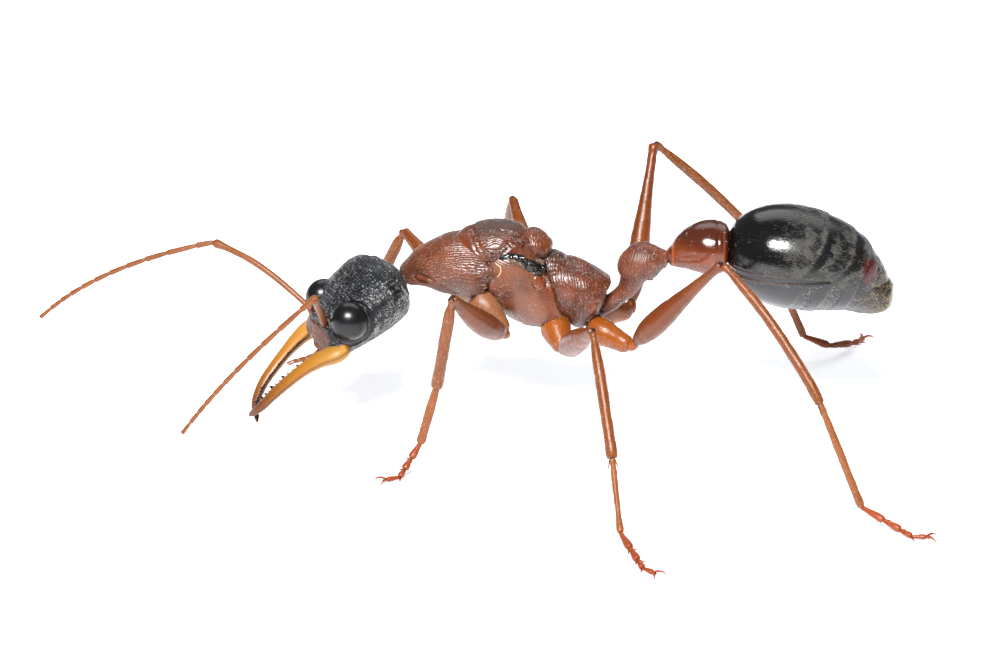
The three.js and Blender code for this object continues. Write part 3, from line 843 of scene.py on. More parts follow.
# %% Trunk stations
TRUNK = {
    "pronotum": dict(stations=[
        (-3.5, 5.7, 0.3, 0.28), (-3.1, 5.93, 0.55, 0.52), (-2.6, 6.13, 0.9, 0.76), (-2, 6.22, 1.13, 0.99),
        (-1.4, 6.29, 1.27, 1.1), (-0.7, 6.22, 1.37, 1.14), (-0.05, 6.12, 1.33, 1.08)],
        first=0.2, last=0.1, square=2.35),
    "mesoscutum": dict(stations=[
        (-1.64, 6.9, 0.4, 0.3), (-1.15, 6.98, 0.88, 0.62), (-0.5, 7.03, 1.2, 0.79), (0.2, 7.05, 1.2, 0.78),
        (0.72, 6.97, 1.02, 0.68), (1.0, 6.92, 0.72, 0.5)], first=0.3, last=0.25),
    "scutellum": dict(stations=[
        (0.82, 6.88, 0.5, 0.52), (1.08, 6.96, 0.68, 0.66), (1.42, 6.84, 0.64, 0.58), (1.68, 6.6, 0.46, 0.42)],
        first=0.3, last=0.3),
    "mesothorax": dict(stations=[
        (-0.8, 6.3, 0.9, 0.75), (-0.3, 6.32, 1.26, 1.1), (0.3, 6.17, 1.41, 1.36), (1, 5.57, 1.42, 1.4),
        (1.6, 5.26, 1.32, 1.34), (2.1, 5.2, 1.16, 1.18)], last=0.1, square=2.3),
    "metanotum": dict(stations=[
        (1.5, 6.06, 0.7, 0.62), (1.76, 6.08, 0.8, 0.7), (2.05, 5.94, 0.86, 0.66), (2.3, 5.8, 0.84, 0.6)],
        first=0.2, last=0.15),
    "propodeum": dict(stations=[
        (1.5, 5.5, 0.8, 0.95), (2, 5.52, 1.02, 1.0), (2.4, 5.42, 1.12, 1.04), (2.85, 5.22, 1.14, 1.0),
        (3.3, 4.8, 1.04, 1.06), (3.62, 4.62, 0.76, 0.82)], square=2.4, last=0.46),
}

# %% Trunk lines
SCUTUM_LINE = trace(
    (0.3, -1.0, 7.6), (0.79, -0.85, 7.44), (1.03, -0.74, 7.21), (1.14, -0.45, 7.02), (1.17, -0.15, 7.05),
    (1.09, 0.15, 7.26), (0.88, 0.44, 7.44), (0.53, 0.74, 7.45))
COLLAR_REAR = trace(
    (1.16, -0.3, 6.85), (1.28, -0.12, 6.74), (1.33, -0.02, 6.58), (1.33, -0.12, 6.4), (1.24, -0.33, 6.21),
    (1.2, -0.4, 5.99), (1.1, -0.46, 5.73), (0.98, -0.58, 5.46), (0.92, -0.85, 5.3), (0.9, -1.3, 5.32),
    (0.88, -1.65, 5.48), (0.97, -2.04, 5.75), (0.91, -2.54, 5.97), (0.66, -2.94, 6.0))
SIDE_SEAM = trace((0.6, 1.55, 6.6), (1.05, 1.62, 6.3), (1.12, 1.75, 5.9))
BREATHER, PATCH, BULLA = Vector((1.2, 1.47, 6.1)), Vector((1.1, 2.5, 5.6)), Vector((0.95, 3.35, 5.0))

# %% [markdown]
# Every plate has its own grain of fine ridges, and the grain follows the plate: lengthwise on the collar,
# crooked on the dome, and across the sloping rear. A net holds three numbers for each point:
# which ridge it is on, how far along that ridge it is, and how rough the shell is there. The carving and
# the material both read the net, so that the painted glints, pale specks, sit on the tops of the ridges.

# %% Trunk nets
def pronotum_net(p, around, along):
    side = abs(around - 0.5)
    row = side * 74 + 9 * climb(along, 0.55, 1) * (0.3 - side)
    row = row + 0.9 * noise.noise(p * 2.4) + 0.25 * noise.noise(p * 8)
    below = climb(side, 0.3, 0.36) * climb(-p.y, 1.2, 1.7)
    return row, along * 36, climb(to_path(p, COLLAR_REAR), 0.05, 0.25) * (1 - 0.8 * below)


def mesoscutum_net(p, around, along):
    inside = climb(p.z - 7.24 + 0.4 * hump(p.y + 0.35, 0.45) - 0.3 * climb(-p.y, 0.7, 1.1), -0.02, 0.1)
    return p.x * 12 + 0.9 * noise.noise(p * 4), p.y * 9 + 0.9 * noise.noise(p * 3.7), 0.1 + 0.55 * inside


def knob_net(p, around, along):
    return p.y * 10 + 0.6 * noise.noise(p * 4), p.x * 9, 0.6


def mesothorax_net(p, around, along):
    q = left_side(p)
    rough = 0.4 * climb((q - BREATHER).length, 0.25, 0.4)
    return p.z * 14 + p.y * 5 + 1.5 * noise.noise(p * 2), (p.y - p.z * 0.3) * 12, rough


def propodeum_net(p, around, along):
    q = left_side(p)
    ridged = climb((q - PATCH).length, 0.2, 0.4) * climb((q - BULLA).length, 0.2, 0.32)
    row = p.y * 10 + 1.8 * p.z + 0.5 * noise.noise(p * 3) + 0.35 * noise.noise(p * 9)
    return row, around * 66, 0.65 * ridged


# %% Trunk reliefs
RIDGE_HIGH = 0.009


def pronotum_form(p):
    edge = to_path(p, COLLAR_REAR)
    return 0.04 * hump(edge, 0.05) - 0.05 * hump(edge - 0.12, 0.05) + 0.03 * noise.noise(p * 1.5)


def mesoscutum_form(p):
    line = to_path(p, SCUTUM_LINE)
    parting = -0.04 * hump(abs(p.x) - 0.55, 0.03) * climb(p.y, -0.6, 0.2)
    return 0.07 * hump(line, 0.045) - 0.05 * hump(line - 0.1, 0.05) + parting


def knob_form(p):
    return 0.04 * noise.noise(p * 3) + 0.02 * noise.noise(p * 9)


def mesothorax_form(p):
    breather = (left_side(p) - BREATHER).length
    return (0.035 * noise.noise(p * 1.3) - 0.06 * hump(to_path(p, SIDE_SEAM), 0.1)
            - 0.045 * hump(breather - 0.3, 0.03) + 0.03 * hump(breather, 0.2)
            + 0.03 * noise.noise(p * 5) * climb(-p.z, -4.9, -4.4))


def propodeum_form(p):
    bulla = (left_side(p) - BULLA).length
    return 0.07 * hump(bulla, 0.18) - 0.03 * hump(bulla - 0.27, 0.05) + 0.03 * noise.noise(p * 2)


def grain(bm, net, form):
    """Stores the net on the vertices, and carves the form and the ridges."""
    around, along = (bm.verts.layers.float[name] for name in ("around", "along"))
    layers = [bm.verts.layers.float.new(name) for name in ("row", "step", "rough")]
    for vert in bm.verts:
        for layer, value in zip(layers, net(vert.co, vert[around], vert[along])):
            vert[layer] = value

    def relief(p, around, along):
        row, step, rough = net(p, around, along)
        broken = 0.6 + 0.4 * noise.noise(Vector((row, step, 0.5)) * 0.8)
        return form(p) + RIDGE_HIGH * rough * broken * abs(math.sin(math.pi * row)) ** 0.7
    carve(bm, relief)


# %% [markdown]
# Two plates don't end straight across. The collar has a round lobe at the side and a second one lower
# down, and the side plate's rear edge leans. Their rear ends are pushed along the body to fit.

# %% Leaning edges
TRUNK["pronotum"]["warp"] = leaning(-1.1, -0.05, [
    (5.2, -0.5), (5.5, -0.42), (5.75, -0.33), (6.0, -0.3), (6.2, -0.22), (6.4, -0.02), (6.6, 0.06),
    (6.75, -0.04), (6.9, -0.25), (7.2, -0.5), (7.5, -0.9)])
TRUNK["mesothorax"]["warp"] = leaning(1.0, 2.1, [
    (4.2, 0.28), (4.7, 0.22), (5.1, 0.0), (5.6, -0.18), (6.1, -0.34), (6.5, -0.4)])


# %% Trunk materials
def rust_paint(name, dark, light, orange_spots=(), dusk_from=7.3, roughness=0.2):
    """The rust-red shell: clouded, darker on its back, with painted shade in its furrows and painted glints
    on its ridges.
    """
    rust = Paint(name, Specular_IOR_Level=0.55)
    row, step, rough = (rust.attribute(key) for key in ("row", "step", "rough"))
    specks = rust.noise(1.5, rust.net(row, step), detail=1)
    ridge = row.wave()
    cloud = rust.noise(1.3, detail=4)
    fleck = rust.noise(12, detail=3)
    grit = rust.noise(40, detail=2)
    ground = rust.mix(cloud.rise(0.3, 0.7), shade(*dark), shade(*light))
    ground = rust.mix(fleck.rise(0.5, 0.75) * 0.35, ground, shade(40, 14, 6))
    for *place, reach in orange_spots:
        for sign in MIRROR.values():
            spot = rust.away(*on_side(sign, *place)).rise(reach, 0)
            ground = rust.mix(spot * 0.5, ground, shade(118, 48, 12))
    dusk = rust.axis("Z").rise(dusk_from, dusk_from + 0.5)
    ground = rust.mix(dusk * 0.8, ground, shade(24, 16, 14))
    # Painted shade: the furrows between the ridges are darkened where the shell is rough.
    ground = rust.mix((1 - ridge).rise(0.5, 1) * rough * 0.14, ground, shade(34, 10, 4))
    # Painted glints: pale specks of highlight are painted into the colour on the ridge tops.
    ridge_glints_painted = ridge ** 2 * specks.rise(0.5, 0.7) * rough
    ground = rust.mix(ridge_glints_painted * 0.45, ground, shade(190, 146, 122))
    return rust.finish(0.018, ridge * rough * (0.4 + specks * 0.6) + grit * 0.15,
                       Base_Color=ground, Roughness=roughness + grit * 0.25)


COLLAR_RUST = rust_paint("collar_rust", (66, 27, 8), (96, 44, 15), dusk_from=7.15)
DOME_RUST = rust_paint("dome_rust", (60, 23, 5), (88, 39, 9), dusk_from=7.45,
                       orange_spots=[(0.7, -1.25, 7.1, 0.5), (1.1, -0.75, 6.95, 0.4), (1.0, 0.6, 7.1, 0.4)])
SIDE_RUST = rust_paint("side_rust", (72, 32, 12), (106, 54, 24),
                       orange_spots=[(*BREATHER, 0.35), (1.1, 1.9, 5.7, 0.5), (1.2, -0.2, 5.9, 0.4)])
REAR_RUST = rust_paint("rear_rust", (56, 22, 9), (86, 38, 17), dusk_from=6.3,
                       orange_spots=[(1.1, 2.45, 5.6, 0.5), (*BULLA, 0.4)])

# %% Trunk pieces
LARGE, SMALL = (280, 130), (150, 70)
TRUNK_DRESS = {
    # net, form, material, and the sides and rings of the grid
    "pronotum": (pronotum_net, pronotum_form, COLLAR_RUST, LARGE),
    "mesoscutum": (mesoscutum_net, mesoscutum_form, DOME_RUST, LARGE),
    "scutellum": (knob_net, knob_form, DOME_RUST, SMALL),
    "mesothorax": (mesothorax_net, mesothorax_form, SIDE_RUST, LARGE),
    "metanotum": (knob_net, knob_form, REAR_RUST, SMALL),
    "propodeum": (propodeum_net, propodeum_form, REAR_RUST, LARGE),
}
skins = {}


def shell_of(node, name, slot, facts, net_of, form, material, grid):
    """One piece of shell with its grain, in place of a solid of the middle plane."""
    skins[node] = Skin(middle_plane(facts.pop("stations")), **facts)
    mesh = roll(bmesh.new(), skins[node], *grid)
    grain(mesh, net_of, form)
    piece(name, mesh, material, slot, node)


for node, dress in TRUNK_DRESS.items():
    shell_of(node, f"{node}_plate", "trunk_shell", TRUNK[node], *dress)
print("trunk:", sum(made[f"{node}_plate"] for node in TRUNK), "triangles")

# %% [markdown]
# A queen drops her wings after her flight. What is left is a stump at each side: black folded horn
# with a scrap of tan membrane. A pale rim of soft skin also shows behind the collar's round lobe.

# %% Wing stumps and the pale rim
def lumps(rows, wobble):
    """A bmesh of uneven eggs, from rows of (x, y, z, half sizes, tilt)."""
    bm = bmesh.new()
    for *place, half, tilt in rows:
        for sign in MIRROR.values():
            ball(bm, on_side(sign, *place), half, turn(tilt, "X").to_3x3(), 28)
    for vert in bm.verts:
        vert.co += noise.noise_vector(vert.co * 6) * wobble
    return bm


horn_black = Paint("stump_black", Roughness=0.15)
STUMP_BLACK = horn_black.finish(
    0.01, horn_black.noise(14, detail=3),
    Base_Color=horn_black.mix(horn_black.noise(5), shade(7, 6, 7), shade(26, 20, 18)))
membrane = Paint("stump_membrane", Roughness=0.4)
STUMP_TAN = membrane.finish(
    0.012, membrane.noise(18, detail=3),
    Base_Color=membrane.mix(membrane.noise(7), shade(48, 34, 26), shade(100, 78, 58)))
piece("wing_stumps", lumps([
    (1.17, 0.2, 7.0, (0.1, 0.28, 0.1), 10), (1.2, 0.55, 7.02, (0.15, 0.22, 0.12), -10),
    (1.2, 0.82, 6.87, (0.15, 0.25, 0.17), -45), (1.18, 1.08, 6.66, (0.2, 0.26, 0.24), -30),
    (1.12, 1.3, 6.52, (0.2, 0.22, 0.2), -50), (1.0, 1.52, 6.6, (0.16, 0.16, 0.14), -10)], 0.07),
    STUMP_BLACK, "trunk_shell")
piece("wing_membranes", lumps([
    (1.26, 0.56, 6.85, (0.1, 0.22, 0.1), -20), (1.28, 0.8, 6.72, (0.1, 0.2, 0.08), -50),
    (1.27, 1.12, 6.45, (0.05, 0.26, 0.05), -15), (1.1, 1.42, 6.8, (0.07, 0.18, 0.06), -20)], 0.06),
    STUMP_TAN, "trunk_shell")

rim_paint = Paint("pale_rim", Roughness=0.35)
RIM_CREAM = rim_paint.finish(
    Base_Color=rim_paint.mix(rim_paint.noise(6), shade(150, 122, 88), shade(190, 164, 126)))
RIM_LINE = trace(
    (1.27, -0.16, 6.82), (1.33, 0.02, 6.68), (1.36, 0.04, 6.5), (1.33, -0.06, 6.33), (1.26, -0.2, 6.2))
RIM_HALF = 0.024
mesh = bmesh.new()
for sign in MIRROR.values():
    stations = [(*on_side(sign, *p), RIM_HALF, RIM_HALF) for p in RIM_LINE]
    roll(mesh, Skin(stations, first=0.05, last=0.05), 12, 30)
piece("collar_pale_rim", mesh, RIM_CREAM, "trunk_shell")

# %% [markdown]
# ## Waist
# Two knots join the trunk to the gaster. The petiole has a long stalk and a wrinkled round node that
# bulges forward over it. The postpetiole is a smooth glossy bell. It has a dark ring and a light one at
# its neck, and a pale line near its rear edge.

# %% Waist nets and forms
def petiole_net(p, around, along):
    return p.y * 10 + p.x * 4 + 0.9 * noise.noise(p * 3), p.z * 9, 0.55 * climb(p.z, 5.65, 6.1)


def petiole_form(p):
    return 0.02 * noise.noise(p * 2) + 0.05 * hump((p - Vector((0, 4.08, 5.72))).length, 0.12)


def postpetiole_net(p, around, along):
    return p.y * 8, p.x * 8, 0.05


def postpetiole_form(p):
    return 0.012 * noise.noise(p * 3) - 0.03 * hump(p.y - 7.72, 0.05)


# %% Waist material
bell = Paint("bell_red", Roughness=0.14)
bell_cloud = bell.noise(1.8, detail=3)
bell_dark = bell.axis("Z").rise(6.7, 7.6)
bell_ground = bell.mix(bell_cloud, shade(90, 38, 14), shade(118, 56, 26))
bell_ground = bell.mix(bell_dark * 0.8, bell_ground, shade(38, 11, 7))
for place, strength, colour in (
        (7.93, 0.25, (150, 100, 70)), (6.04, 0.8, (30, 10, 6)), (6.14, 0.8, (150, 74, 34))):
    line = bell.axis("Y").near(place, 0.05) * strength
    bell_ground = bell.mix(line, bell_ground, shade(*colour))
BELL_RED = bell.finish(0.003, bell.noise(30), Base_Color=bell_ground, Roughness=0.12 + bell_cloud * 0.12)
NODE_RUST = rust_paint("node_rust", (66, 26, 10), (98, 44, 17), dusk_from=7.0, roughness=0.35)

# %% Waist pieces
WAIST = {
    "petiole": (dict(stations=[
        (3.45, 4.5, 0.3, 0.3), (3.82, 4.7, 0.36, 0.31), (4.2, 5.0, 0.38, 0.3), (4.5, 5.32, 0.44, 0.34),
        (4.7, 5.74, 0.56, 0.46), (4.82, 6.1, 0.7, 0.7), (5.05, 6.34, 0.74, 0.73), (5.45, 6.44, 0.62, 0.6),
        (5.75, 6.48, 0.42, 0.38), (5.98, 6.48, 0.3, 0.27)], first=0.15, last=0.1),
        petiole_net, petiole_form, NODE_RUST, (150, 120)),
    "postpetiole": (dict(stations=[
        (5.92, 6.5, 0.27, 0.25), (6.2, 6.58, 0.44, 0.42), (6.6, 6.74, 0.72, 0.7), (7.1, 6.88, 0.98, 0.93),
        (7.6, 6.93, 1.06, 0.98), (7.9, 6.92, 0.98, 0.9), (8.15, 6.9, 0.8, 0.75)], first=0.1, last=0.2),
        postpetiole_net, postpetiole_form, BELL_RED, (150, 120)),
}
for node, dress in WAIST.items():
    shell_of(node, f"{node}_knot", "waist_shell", *dress)
print("waist:", made["petiole_knot"] + made["postpetiole_knot"], "triangles")

# %% [markdown]
# ## Gaster
# The gaster is an egg of overlapping plates. Upper plates cap its back and sides like roof tiles, each
# one lapping over the next, and lower plates close the belly. So one inner egg makes the belly, and each
# upper plate is a stretch of the same skin: it stands proud inside its own outline and dips into the
# inner egg outside it. The outline is a line seen from the side, curving forwards as it runs down.

# %% Gaster outlines
GASTER_ROWS = middle_plane([
    (8.0, 6.75, 0.6, 0.6), (8.5, 6.75, 1.25, 1.2), (9.2, 6.72, 1.68, 1.62), (10.1, 6.62, 1.88, 1.8),
    (11.2, 6.38, 1.85, 1.74), (12.2, 6.02, 1.58, 1.47), (12.9, 5.59, 1.27, 1.15), (13.35, 5.2, 0.96, 0.92),
    (13.62, 4.92, 0.72, 0.66)])
PLATES = [
    # the stretch of the egg, the height above it, lowest z at each y, and the rear edge's y at each z
    dict(reach=(8.0, 11.9), height=0.05, lowest=[(8, 6.52), (12, 6.52)], rear=[
        (6.5, 10.3), (6.6, 10.6), (6.88, 10.97), (7.22, 11.22), (7.58, 11.43), (7.95, 11.64)]),
    dict(reach=(10.2, 12.8), height=0.034, lowest=[(10.3, 6.52), (11.6, 6.37)], rear=[
        (6.36, 11.6), (6.42, 11.85), (6.56, 12.08), (6.76, 12.29), (7.04, 12.51), (7.47, 12.62)]),
    dict(reach=(11.4, 13.4), height=0.02, lowest=[(11.6, 6.37), (12.25, 5.87)], rear=[
        (5.86, 12.25), (5.9, 12.4), (6.03, 12.63), (6.32, 12.84), (6.61, 12.98), (6.92, 13.22)]),
    dict(reach=(12.2, 13.75), height=0.01, lowest=[(12.25, 5.87), (12.8, 5.4)], rear=[
        (5.3, 12.8), (5.53, 12.93), (5.95, 13.17), (6.16, 13.4), (6.5, 13.6)]),
]
PLATE_RINGS = (150, 90, 80, 60)
BELLY_LINES = (10.4, 11.4, 12.4)
RED_PATCH = Vector((0.95, 13.15, 6.4))
TIP_LEAN = leaning(12.7, 13.6, [(4.3, 0.62), (4.8, 0.4), (5.3, 0.0), (5.8, -0.22), (6.6, -0.12)])


def plate_edge(p, i):
    """How far inside a plate's outline a point is, in mm, and below 0 outside it."""
    plate = PLATES[i]
    return min((p.z - fan(plate["lowest"], p.y)) * 0.8, (fan(plate["rear"], p.z) - p.y) * 0.8)


def belly_line(p):
    """How far behind the nearest belly plate's slanting rear edge a point is."""
    return min((p.y - line - 0.48 * (p.z - 5.42) for line in BELLY_LINES), key=abs)


# %% Gaster materials
def pitch_paint(name, dark, light, red=False):
    pitch = Paint(name, Specular_IOR_Level=0.5)
    mist = pitch.noise(1.2, detail=3)
    dust = pitch.noise(16, pitch.stretched(1, 0.6, 1), 4)
    tan = pitch.attribute("tan")
    ground = pitch.mix(mist, shade(*dark), shade(*light))
    dull = pitch.axis("Y").rise(9.4, 11.2)
    if red:
        left, right = (pitch.away(*on_side(sign, *RED_PATCH)).rise(0.6, 0.4) for sign in MIRROR.values())
        patch = left + right
        ground = pitch.mix(patch, ground, shade(58, 12, 5))
        dull = dull * (1 - patch)
    ground = pitch.mix(tan, ground, shade(88, 62, 42))
    return pitch.finish(0.006, dust, Base_Color=ground, Roughness=0.1 + dust * (0.06 + dull * 0.3))


GASTER_BLACK = pitch_paint("gaster_black", (5, 5, 6), (13, 12, 12))
GASTER_REAR = pitch_paint("gaster_rear", (7, 6, 6), (16, 13, 12), True)
BELLY_GREY = pitch_paint("belly_grey", (22, 20, 23), (40, 38, 41))
TIP_BROWN = pitch_paint("gaster_tip", (14, 11, 9), (44, 32, 20))

# %% Gaster pieces
gaster_skin = Skin(GASTER_ROWS, first=0.4, last=0.15, warp=TIP_LEAN)


def egg_stretch(front, rear, **ends):
    """The part of the gaster's skin between two places along the body."""
    reach = gaster_skin.places[-1]
    low, high = (sum(gaster_skin.read(place / 400 * reach).y < y for place in range(400)) / 400
                 for y in (front, rear))
    return Skin(GASTER_ROWS, cut=(low, high), warp=TIP_LEAN, **ends)


def tan_where(bm, mask):
    """Stores how tan the shell is at each vertex."""
    layer = bm.verts.layers.float.new("tan")
    for vert in bm.verts:
        vert[layer] = max(0, min(1, mask(vert.co)))


def belly_relief(p, around, along):
    steps = 0.03 * climb(-belly_line(p), 0, 0.03) * climb(6.2 - p.z, 0, 0.1)
    return steps - 0.05 * climb(p.z, 6.28, 6.34)


def belly_tan(p):
    edges = hump(belly_line(p) + 0.04, 0.025) * climb(6.2 - p.z, 0, 0.1)
    upper_rim = hump(p.z - 6.3, 0.03) * climb(p.y, 8.4, 8.8) * climb(-p.y, -10.9, -10.5)
    return 0.5 * edges + 0.5 * upper_rim


def plate_relief(i):
    """The rule that raises a plate inside its outline and sinks it into the egg outside it."""
    height = PLATES[i]["height"]
    groove = (height if i == 0 else 0.04) * 0.5

    def relief(p, around, along):
        edge = plate_edge(p, i)
        return (height + 0.12) * climb(edge, -0.02, 0.03) - 0.12 - groove * hump(edge - 0.09, 0.03)
    return relief


mesh = roll(bmesh.new(), gaster_skin, 220, 140)
carve(mesh, belly_relief)
tan_where(mesh, belly_tan)
piece("gaster_belly", mesh, BELLY_GREY, "gaster_shell")
for i, rings in enumerate(PLATE_RINGS):
    node = f"gaster_{i + 1}"
    skins[node] = egg_stretch(*PLATES[i]["reach"], first=0.02 if i else 0.4, last=0.02)
    mesh = roll(bmesh.new(), skins[node], 260, rings)
    carve(mesh, plate_relief(i))
    tan_where(mesh, lambda p: 0.5 * hump(plate_edge(p, i) - 0.02, 0.035) * climb(p.z, 7.9, 6.6))
    piece(f"gaster_plate_{i + 1}", mesh, GASTER_REAR if i > 1 else GASTER_BLACK, "gaster_shell", node)
skins["gaster_5"] = egg_stretch(12.85, 13.62, first=0.02, last=0.18)
mesh = roll(bmesh.new(), skins["gaster_5"], 160, 60)
carve(mesh, lambda p, around, along: 0.004 + 0.02 * noise.noise(p * 4))
tan_where(mesh, lambda p: climb(p.y + (5.0 - p.z) * 0.5, 13.6, 13.9))
piece("gaster_tip_plate", mesh, TIP_BROWN, "gaster_shell", "gaster_5")
print("gaster:", tally("gaster"), "triangles")

# %% [markdown]
# ## Legs
# A leg is a fat hip joint, a ring, a thigh, a shin, and a foot of five short joints with two hooked
# claws. The feet stand on the floor with the soles of their last joints.

# %% The stance
LEG_LENGTHS = {
    # the thigh, the shin, the long first joint of the foot, and the rest of the foot
    "front": (4.55, 3.8, 2.25, 1.85), "middle": (4.65, 4.6, 2.75, 2.35), "hind": (6.2, 6.05, 4.0, 2.6)}
HIPS = {
    # the two ends of the hip joint
    "front": ((0.75, -0.85, 5.35), (1.55, 0.22, 4.2)), "middle": ((0.5, 1.9, 4.3), (1.75, 2.25, 3.7)),
    "hind": ((0.5, 3.2, 4.1), (1.6, 4.66, 3.77))}
STANCE = {
    # bearing and pitch of the thigh, of the shin and of the long foot joint, the bearings of the rest of
    # the foot and of its last joint, and how far the hip is moved rearwards
    "front_left": ((60, 37), (-47, -77), (-6, -75), (47, 25), 0),
    "front_right": ((55, 15), (30, -64), (58, -40), (68, 60), -1.25),
    "middle_left": ((105, 31), (104, -51), (98, -43), (115, 135), 0),
    "middle_right": ((73.3, 39), (84, -47), (119, -69), (107, 99), -0.8),
    "hind_left": ((136, 46), (137, -40), (161, -67), (146, 175), 0),
    "hind_right": ((104, 56), (162, -46), (191, -66), (160, 125), 0),
}
THIGHS = {
    # share of the length, half width, half height
    "front": [(0.05, 0.14, 0.14), (0.1, 0.26, 0.27), (0.22, 0.37, 0.39), (0.42, 0.4, 0.44),
              (0.64, 0.33, 0.36), (0.84, 0.22, 0.24), (0.95, 0.18, 0.19), (1, 0.17, 0.17)],
    "middle": [(0.05, 0.14, 0.14), (0.1, 0.24, 0.25), (0.24, 0.4, 0.42), (0.45, 0.41, 0.44),
               (0.66, 0.33, 0.36), (0.85, 0.21, 0.23), (0.95, 0.18, 0.19), (1, 0.17, 0.17)],
    "hind": [(0.05, 0.13, 0.13), (0.09, 0.24, 0.25), (0.2, 0.37, 0.4), (0.36, 0.38, 0.41),
             (0.55, 0.29, 0.31), (0.78, 0.19, 0.2), (0.93, 0.17, 0.175), (0.98, 0.185, 0.195),
             (1, 0.15, 0.15)],
}
COXA_FAT = {"front": 1, "middle": 1, "hind": 0.88}
SHIN_FAT = {"front": 1.32, "middle": 1.25, "hind": 1.12}
HEEL_HALVES = {"front": (0.13, 0.165, 0.175), "middle": (0.1, 0.11, 0.14), "hind": (0.11, 0.14, 0.15)}
RING_LONG = 0.42
FEMUR_BOW = {"front": -0.16, "middle": 0, "hind": 0.02}
TIBIA_BOW = {"front": 0, "middle": 0.08, "hind": 0.3}
# The last joint of a foot, and the height that it starts at: in the solids, and here, where it is thinner.
TOE_LONG, SOLID_TOE_HIGH, TOE_HIGH = 0.5, 0.22, 0.1
FOOT_SHARES = (0, 0.45, 0.78, 1)
FOOT_RADII = (0.125, 0.12, 0.1, 0.088)
CURLED_FOOT = trace((-6.03, 12.03, 0.5), (-6.84, 12.88, 0.24), (-7.2, 13.15, 0.16), (-7.62, 13.36, 0.12))


def leg_line(pair, side):
    """The ends of a leg's joints, from the root to the tip of the foot."""
    thigh, shin, long_joint, foot_ways, stride = STANCE[f"{pair}_{side}"]
    sign = MIRROR[side]
    thigh_long, shin_long, joint_long, foot_long = LEG_LENGTHS[pair]
    (root_x, root_y, root_z), (hip_x, hip_y, hip_z) = HIPS[pair]
    root = on_side(sign, root_x, root_y + stride * 0.4, root_z)
    hip = on_side(sign, hip_x, hip_y + stride, hip_z)
    knee = hip + heading(thigh, sign) * thigh_long
    ankle = knee + heading(shin, sign) * shin_long
    heel = ankle + heading(long_joint, sign) * joint_long
    reach = math.sqrt((foot_long - TOE_LONG) ** 2 - (heel.z - SOLID_TOE_HIGH) ** 2)
    sole = heel + heading((foot_ways[0], 0), sign) * reach
    sole.z = TOE_HIGH
    return root, hip, knee, ankle, heel, sole, sole + heading((foot_ways[1], 0), sign) * TOE_LONG


# %% [markdown]
# Leg shell is clear and amber, and looks lighter where it is thin. It darkens to nearly black in a
# narrow band at each joint, where the shell is thickest, so the colour reads how far along the skin it is.

# %% Leg materials
def shell_paint(name, dark, light, roughness, joint=(0.03, 0.97)):
    paint = Paint(name, Specular_IOR_Level=0.35)
    fine = paint.noise(26, detail=3)
    along = paint.wrap("Y")
    ground = paint.mix(paint.noise(0.9, detail=3), shade(*dark), shade(*light))
    ground = paint.mix(fine.rise(0.5, 0.75) * 0.35, ground, shade(40, 16, 8))
    band = along.rise(joint[0] * 2, joint[0]) + along.rise(joint[1], joint[1] * 0.5 + 0.5)
    ground = paint.mix(band * 0.85, ground, shade(26, 9, 5))
    return paint.finish(0.008, fine, Base_Color=ground, Roughness=roughness + fine * 0.2)


COXA_ORANGE = shell_paint("coxa_orange", (98, 40, 5), (140, 74, 14), 0.18, (0.12, 0.93))
COXA_PALE = shell_paint("coxa_pale", (96, 54, 30), (134, 86, 54), 0.28, (0.1, 0.95))
RING_AMBER = shell_paint("ring_amber", (100, 38, 8), (150, 76, 16), 0.18, (0.06, 0.8))
THIGH_BROWN = shell_paint("thigh_brown", (76, 30, 5), (112, 54, 12), 0.2)
SHIN_BROWN = shell_paint("shin_brown", (84, 38, 8), (118, 60, 18), 0.24)
FOOT_BROWN = shell_paint("foot_brown", (96, 44, 14), (134, 74, 28), 0.3, (0.02, 0.97))
FOOT_RED = shell_paint("foot_red", (104, 34, 6), (142, 60, 16), 0.25, (0.02, 0.97))

# %% The large parts of a leg
def leg_parts(pair, side):
    """The skins of a leg's five large parts."""
    root, hip, knee, ankle, heel = leg_line(pair, side)[:5]
    fat, shin = COXA_FAT[pair], SHIN_FAT[pair]
    thin, full, wide = HEEL_HALVES[pair]
    bow = TIBIA_BOW[pair] * (0.4 if (pair, side) == ("hind", "right") else 1)
    return {
        "coxa": limb(root, hip, [
            (0, 0.46 * fat, 0.48 * fat), (0.25, 0.55 * fat, 0.57 * fat), (0.65, 0.42 * fat, 0.45 * fat),
            (0.92, 0.3, 0.3), (1, 0.2, 0.2)], first=0.12, last=0.15),
        "trochanter": limb(hip, hip.lerp(knee, RING_LONG / (knee - hip).length), [
            (-0.3, 0.15, 0.15), (0.3, 0.2, 0.2), (0.75, 0.17, 0.17), (1, 0.13, 0.13)], first=0.1, last=0.1),
        "femur": limb(hip, knee, THIGHS[pair], FEMUR_BOW[pair], first=0.08, last=0.1),
        "tibia": limb(knee, ankle, [
            (0, 0.11, 0.11), (0.03, 0.15, 0.155), (0.07, 0.115, 0.12), (0.14, 0.13 * shin, 0.135 * shin),
            (0.4, 0.155 * shin, 0.165 * shin), (0.8, 0.155 * shin, 0.16 * shin),
            (0.97, 0.16 * shin, 0.165 * shin), (1, 0.14 * shin, 0.14 * shin)], bow, first=0.08, last=0.04),
        "basitarsus": limb(ankle.lerp(heel, -0.02), heel, [
            (0, thin, thin), (0.06, thin, thin), (0.35, full, full), (0.85, full, full), (0.95, wide, wide),
            (1, 0.8 * wide, 0.8 * wide)], first=0.03, last=0.04),
    }


# %% Thorns, spurs and feet
SPURS = {"front": (-1,), "middle": (-1, 1), "hind": (-1, 1)}
SPUR_LONG, SPUR_HALF = 0.5, 0.035
THORN_LONG, THORN_HALF = 0.34, 0.05
CLAW_SPREAD = 0.45
CLAW = [
    # how far ahead of the toe, how far aside, how far up, and the half width
    (-0.03, 0, 0, 0.05), (0.12, 0.25, 0.06, 0.045), (0.26, 0.5, 0.03, 0.032), (0.36, 0.62, -0.06, 0.01)]


